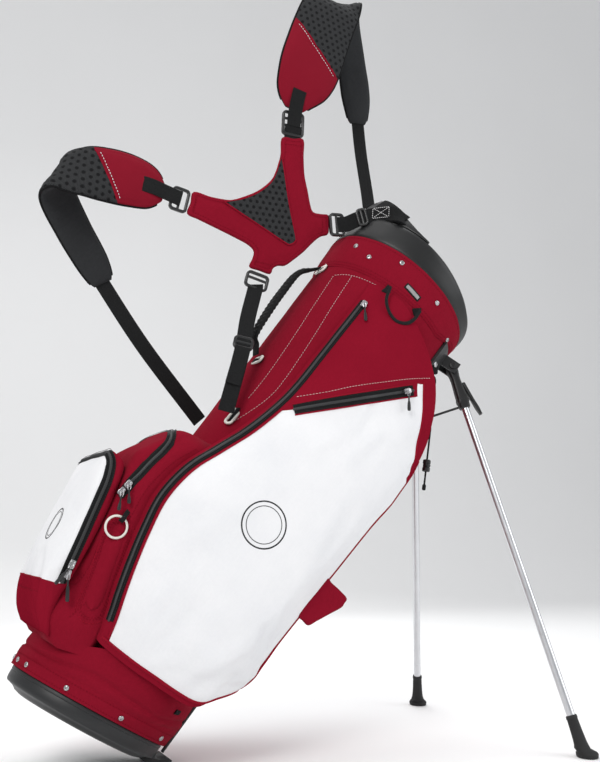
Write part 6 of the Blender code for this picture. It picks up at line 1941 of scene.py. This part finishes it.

# base: rivets and hem
BR = [(-0.1249, -0.0174, 0.0083), (-0.1170, -0.0441, 0.0113), (-0.0670, -0.0981, 0.0187), (0.0131, -0.1128, 0.0267), (0.0850, -0.0750, 0.0340)]
BW = [tuple(BASE_M.inverted() @ (BAG_M @ Vector(p))) for p in BR]
spots = []
for p in BW:
    phi = math.atan2(p[1] / 0.905, p[0])
    for s in (1, -1):
        spots.append((0.1270 * math.cos(phi), 0.1270 * 0.905 * math.sin(phi) * s, 0.0290))
rivets("base_rivets", spots, T_LOW, "base", M=BASE_M, r=0.0036)
W, N = ring_on(T_LOW, [(0.16 * math.cos(a), 0.15 * math.sin(a), 0.0245) for a in np.linspace(0, 2 * math.pi, 151)[:-1]], BASE_M)
lines = [(np.vstack([W, W[:1]]), np.vstack([N, N[:1]]))]
W, N = ring_on(T_LOW, [(0.16 * math.cos(a), 0.15 * math.sin(a), 0.0375) for a in np.linspace(0, 2 * math.pi, 151)[:-1]], BASE_M)
lines.append((np.vstack([W, W[:1]]), np.vstack([N, N[:1]])))
stitch("base_hem_stitching", lines, "base", "thread_r")


# plain ring emblems
def emblem(name, tree, c, r, M=BAG_M, d=(0, 1, 0), u=(1, 0, 0), v=(0, 0, 1), start=0.1):
    c, u, v, d = np.asarray(c, float), unit(u), unit(v), unit(d)
    for k, (rad, w) in enumerate(((r, 0.0011), (r * 0.80, 0.0006))):
        W, N = [], []
        for a in np.linspace(0, 2 * math.pi, 97)[:-1]:
            p = c + (u * math.cos(a) + v * math.sin(a)) * rad - d * start
            q, nn = cast(tree, p, d, M)
            W.append(np.array(q))
            N.append(np.array(nn))
        tube("%s_ring_%d" % (name, k), np.array(W), w, "bag", "thread_g", WORLD_M, seg=8, closed=True, squash=0.5, normals=np.array(N))


emblem("emblem_near", T_POCKET_N, (0.0030, -0.149, 0.3440), 0.0330)
emblem("emblem_far", T_POCKET_F, (0.0030, 0.149, 0.3440), 0.0330, d=(0, -1, 0))
emblem("emblem_ball", T_BALL, (-0.201, -0.030, 0.183), 0.0230, d=(1, 0, 0.18), u=(0, 1, 0), v=(-0.18, 0, 1))


# zip sliders and pulls
DOWN = np.array(BAG_M.to_3x3().inverted() @ Vector((0, 0, -1)))


def slider_parts(c, along, out):
    """Cast slider: two wings under a bridge, and a nose."""
    al, o = unit(along), np.asarray(out, float)
    o = unit(o - al * (o @ al))
    w = np.cross(al, o)
    c = np.asarray(c, float)
    parts = []
    st = [(-.0058, .0030), (-.0050, .0038), (-.0010, .0041), (.0020, .0043), (.0046, .0040), (.0058, .0028)]
    parts.append(loft_data([rr_loop(c + al * t - o * .0004, w, o, h, .0017, .0009, 3) for t, h in st]))
    br = [(-.0046, .0010), (-.0040, .0028), (-.0015, .0036), (.0015, .0036), (.0040, .0028), (.0046, .0010)]
    parts.append(loft_data([rr_loop(c + al * t + o * h, w, np.cross(w, al) * 0 + o, .0012, .0007, .0005, 2) for t, h in br]))
    return parts, al, o, w


def pull_parts(root, pd, o, length_):
    """Wire link and a moulded cord pull that widens to its end."""
    root, pd = np.asarray(root, float), unit(pd)
    s = np.cross(o, pd)
    link = [root + pd * (.0035 + .0045 * math.sin(a)) + s * .0024 * math.cos(a) for a in np.linspace(0, 2 * math.pi, 25)[:-1]]
    wire = tube_data(np.array(link), .0006, 8, closed=True, normals=np.repeat([o], 24, 0))
    cord = [(.0070, .0009), (.0078, .0015), (.0110, .0013), (.0150, .0013), (.0175, .0019), (.0200, .0024), (length_ * .85, .0026), (length_ * .97, .0024), (length_, .0014)]
    body = loft_data([rr_loop(root + pd * t, s, o, r, r * .62, r * .45, 3) for t, r in cord])
    return wire, body


def zip_set(key, c, along, out, pull_len, body, node, pull=None, second=None):
    M3 = BAG_M.to_3x3()
    parts, al, o, w = slider_parts(c, along, out)
    pd = DOWN - o * (DOWN @ o)
    pd = unit(unit(pd) + o * (0.10 if key == "accessory" else 0.0))
    root = np.asarray(c, float) + o * .0036
    wire, cord = pull_parts(root, pd, o, pull_len)
    if pull:
        V, F = join(parts)
        add("slider_" + key, V, F, body, "steel", BAG_M, rep=(node,), sharp=40)
        add("pull_link_" + key, wire[0], wire[1], pull[0], "steel", BAG_M, sharp=40)
        add("pull_cord_" + key, cord[0], cord[1], pull[0], "black", BAG_M, rep=(pull[1],), sharp=40)
    else:
        extra, ecord = [], []
        if second is not None:
            c2 = np.asarray(c, float) + al * second
            p2, _, _, _ = slider_parts(c2, -al, out)
            pd2 = unit(pd + o * (0.30 if key == "ball" else 0.0) + w * (0.75 if key == "ball" else 0.22) * (1 if w @ np.array([1, 0, 0]) < 0 else -1))
            wi2, co2 = pull_parts(c2 + o * .0040, pd2, o, pull_len)
            extra = p2 + [wi2]
            ecord = [co2]
        V, F = join(parts + [wire] + extra)
        add("slider_" + key, V, F, body, "steel", BAG_M, rep=(node,), sharp=40)
        V, F = join([cord] + ecord)
        add("pull_cord_" + key, V, F, body, "black", BAG_M, sharp=40)


zip_set("garment_near", (-0.0655, -0.1210, 0.7250), (0.005, 0.006, 0.165), (-0.35, -1, 0), 0.031, "zip_garment_near", "zip_slider_garment_near", ("pull_garment_near", "zip_pull_garment_near"))
zip_set("garment_far", (-0.0655, 0.1210, 0.7250), (0.005, -0.006, 0.165), (-0.35, 1, 0), 0.030, "zip_garment_far", "zip_slider_garment_far")
zip_set("upper", (0.0640, -0.1555, 0.6500), (0.655, 0, 0.755), (0, -1, 0), 0.031, "zip_upper", "zip_slider_upper", ("pull_upper", "zip_pull_upper"))
zip_set("accessory", (-0.1740, -0.1045, 0.2760), (0.10, 0, 1), (0, -1, 0), 0.027, "zip_accessory", "zip_slider_accessory", second=-0.0135)
zip_set("ball", (-0.1620, -0.1045, 0.1330), (-0.26, 0, 1), (0, -1, 0), 0.036, "zip_ball", "zip_slider_ball", second=0.0135)

# webbing sewn round the near side of the lift handle
Ci = COL_M.inverted()
e = np.array(Ci @ Vector((0.3560, -0.1060, 0.8840)))
phi0 = math.degrees(math.atan2(e[1] / CO_B, e[0] / CO_A)) % 360


def on_handle(deg, f, off):
    phi = math.radians(deg)
    d = min(deg, 360 - deg)
    lo = collar_height(phi) + 0.0004 + table(H_OPEN, d)
    hi = table(H_TOP, d)
    lean = 0.10 * (hi - 0.0475)
    r = off - 0.0050 - lean * f
    return np.array([(CO_A + r) * math.cos(phi), (CO_B + r) * math.sin(phi), lo + (hi - lo) * f])


degs = np.linspace(196, 228, 18)
outer = [on_handle(d, 0.53, 0.0062) for d in degs]
T = np.gradient(np.array(outer), axis=0)
wds = []
for d, t in zip(degs, T):
    up = unit(on_handle(d, 0.9, 0.0062) - on_handle(d, 0.1, 0.0062))
    wds.append(up)
ribbon("handle_wrap_outer", outer, np.array(wds), 0.0255, 0.0018, "bag", M=COL_M)
inner_ = [on_handle(d, 0.53, -0.0062) for d in degs]
ribbon("handle_wrap_inner", inner_, np.array(wds), 0.0255, 0.0018, "bag", M=COL_M)
HWP = spline(np.array([np.array(p) + np.array([-.0006, -.0040, 0.0006]) for p in HW[2:]]), 60)
i_ = 24
al_ = unit(HWP[i_ + 5] - HWP[i_ - 5])
up_ = unit(np.array([-.15, .28, 1.0]) - al_ * (np.array([-.15, .28, 1.0]) @ al_))
ou_ = np.cross(al_, up_)
if ou_[1] > 0:
    ou_ = -ou_
box_stitch("handle_wrap_stitch", HWP[i_] + ou_ * .0026, al_, up_, ou_, 0.0145, 0.0088, "bag")
ladder("handle_wrap_slide", HWP[4], unit(HWP[8] - HWP[0]), up_, ou_, 0.0320, 0.0190, 0.0060, "bag", bars=(0.0,), mat="gloss", r=0.0024)
# short black reinforcement in the lower cuff, under the belly end of the panel
patch("cuff_slot_patch", (0.0911, -0.1000, 0.0800), (1, 0, 0.10), (0, 0, 1), [(-.0130, -.0045), (.0130, -.0045), (.0130, .0045), (-.0130, .0045)], 0.0020, "bag", "black_cloth", T_LOW, lift=0.0008)

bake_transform(CUFF_L)


# ------------------------------------------------------------------ carried CAD nodes: materials and soft edges
CARRIED = dict(club_divider=("foam", 0.0012), divider_sheet=("foam", 0.0), spine_stay=("grey", 0.0006), stay_rod_near=("grey", 0.0),
               stay_rod_far=("grey", 0.0), leg_bracket=("black", 0.0006), pivot_pin_near=("steel", 0.0004), pivot_pin_far=("steel", 0.0004),
               actuator_rod=("black", 0.0), rod_crosshead=("grey", 0.0008), rod_guide=("grey", 0.0006), pedal_pin=("steel", 0.0003),
               base_pedal=("rubber", 0.0008), leg_link_near=("black", 0.0), leg_link_far=("black", 0.0))
for node, (mat, bev) in CARRIED.items():
    o = NODES[node]
    if o.hide_render:
        continue
    o.data.materials.clear()
    o.data.materials.append(MAT[mat])
    if bev:
        m = o.modifiers.new("edge", "BEVEL")
        m.width = bev
        m.segments = 2
        m.limit_method = "ANGLE"
        m.angle_limit = math.radians(40)
        m.harden_normals = False

# ------------------------------------------------------------------ floor, light and camera
def stage_sheet():
    """Floor that curves up into a plain backdrop behind the object."""
    prof = [(-4.0, 0.0)] + [(y, 0.0) for y in np.linspace(-3.5, 2.2, 12)]
    prof += [(2.2 + 1.4 * math.sin(a), 1.4 - 1.4 * math.cos(a)) for a in np.linspace(0.1, math.pi / 2, 14)]
    prof += [(3.6, z) for z in np.linspace(1.6, 5.0, 6)]
    V, F = [], []
    xs = np.linspace(-5.0, 5.5, 12)
    for y, z in prof:
        for x in xs:
            V.append((x, y, z - 0.0002))
    for i in range(len(prof) - 1):
        for j in range(len(xs) - 1):
            a = i * len(xs) + j
            F.append((a, a + 1, a + len(xs) + 1, a + len(xs)))
    me = bpy.data.meshes.new("floor")
    me.from_pydata(V, [], F)
    me.shade_smooth()
    m, nt, b = base("pale_floor")
    vec, _ = coords(nt, 0.0)
    nt.links.new(mixc(nt, noise_t(nt, vec, 1.2, 2.0), (0.86, 0.86, 0.86), (0.90, 0.90, 0.90)), b.inputs["Base Color"])
    b.inputs["Roughness"].default_value = 0.85
    b.inputs["Specular IOR Level"].default_value = 0.15
    me.materials.append(m)
    ob = bpy.data.objects.new("floor", me)
    bpy.context.scene.collection.objects.link(ob)
    return ob


stage_sheet()


def area(name, loc, target, size, power, tint=(1, 1, 1)):
    li = bpy.data.lights.new(name, "AREA")
    li.shape = "RECTANGLE"
    li.size, li.size_y = size
    li.energy = power
    li.color = tint
    ob = bpy.data.objects.new(name, li)
    bpy.context.scene.collection.objects.link(ob)
    ob.location = loc
    ob.rotation_mode = "QUATERNION"
    ob.rotation_quaternion = (Vector(target) - Vector(loc)).to_track_quat("-Z", "Y")
    return ob


AIM = (0.2, 0.0, 0.6)
area("key", (-1.7, -1.9, 2.3), AIM, (1.3, 1.3), 50.0, (1.0, 0.99, 0.975))
area("fill", (2.3, -1.7, 1.3), AIM, (1.8, 1.8), 24.0, (0.97, 0.985, 1.0))
area("top", (0.3, 0.5, 3.0), AIM, (2.2, 2.2), 34.0)
area("rim", (0.9, 2.0, 1.7), AIM, (1.4, 1.2), 18.0)
world = bpy.data.worlds.new("studio")
world.use_nodes = True
bg = world.node_tree.nodes["Background"]
bg.inputs[0].default_value = (0.93, 0.94, 0.96, 1.0)
bg.inputs[1].default_value = 0.58
bpy.context.scene.world = world
bpy.context.scene.view_settings.view_transform = "Standard"

cam = bpy.data.objects.new("camera", bpy.data.cameras.new("camera"))
bpy.context.scene.collection.objects.link(cam)
cam.data.sensor_width = 36.0
cam.data.lens = 45.605
cam.location = (-0.40618, -1.42166, 0.32828)
cam.rotation_mode = "QUATERNION"
cam.rotation_quaternion = (Vector((0.236, 0.0, 0.5713)) - Vector(cam.location)).to_track_quat("-Z", "Y")
cam.data.clip_start, cam.data.clip_end = 0.02, 50.0
bpy.context.scene.camera = cam

bpy.context.view_layer.update()
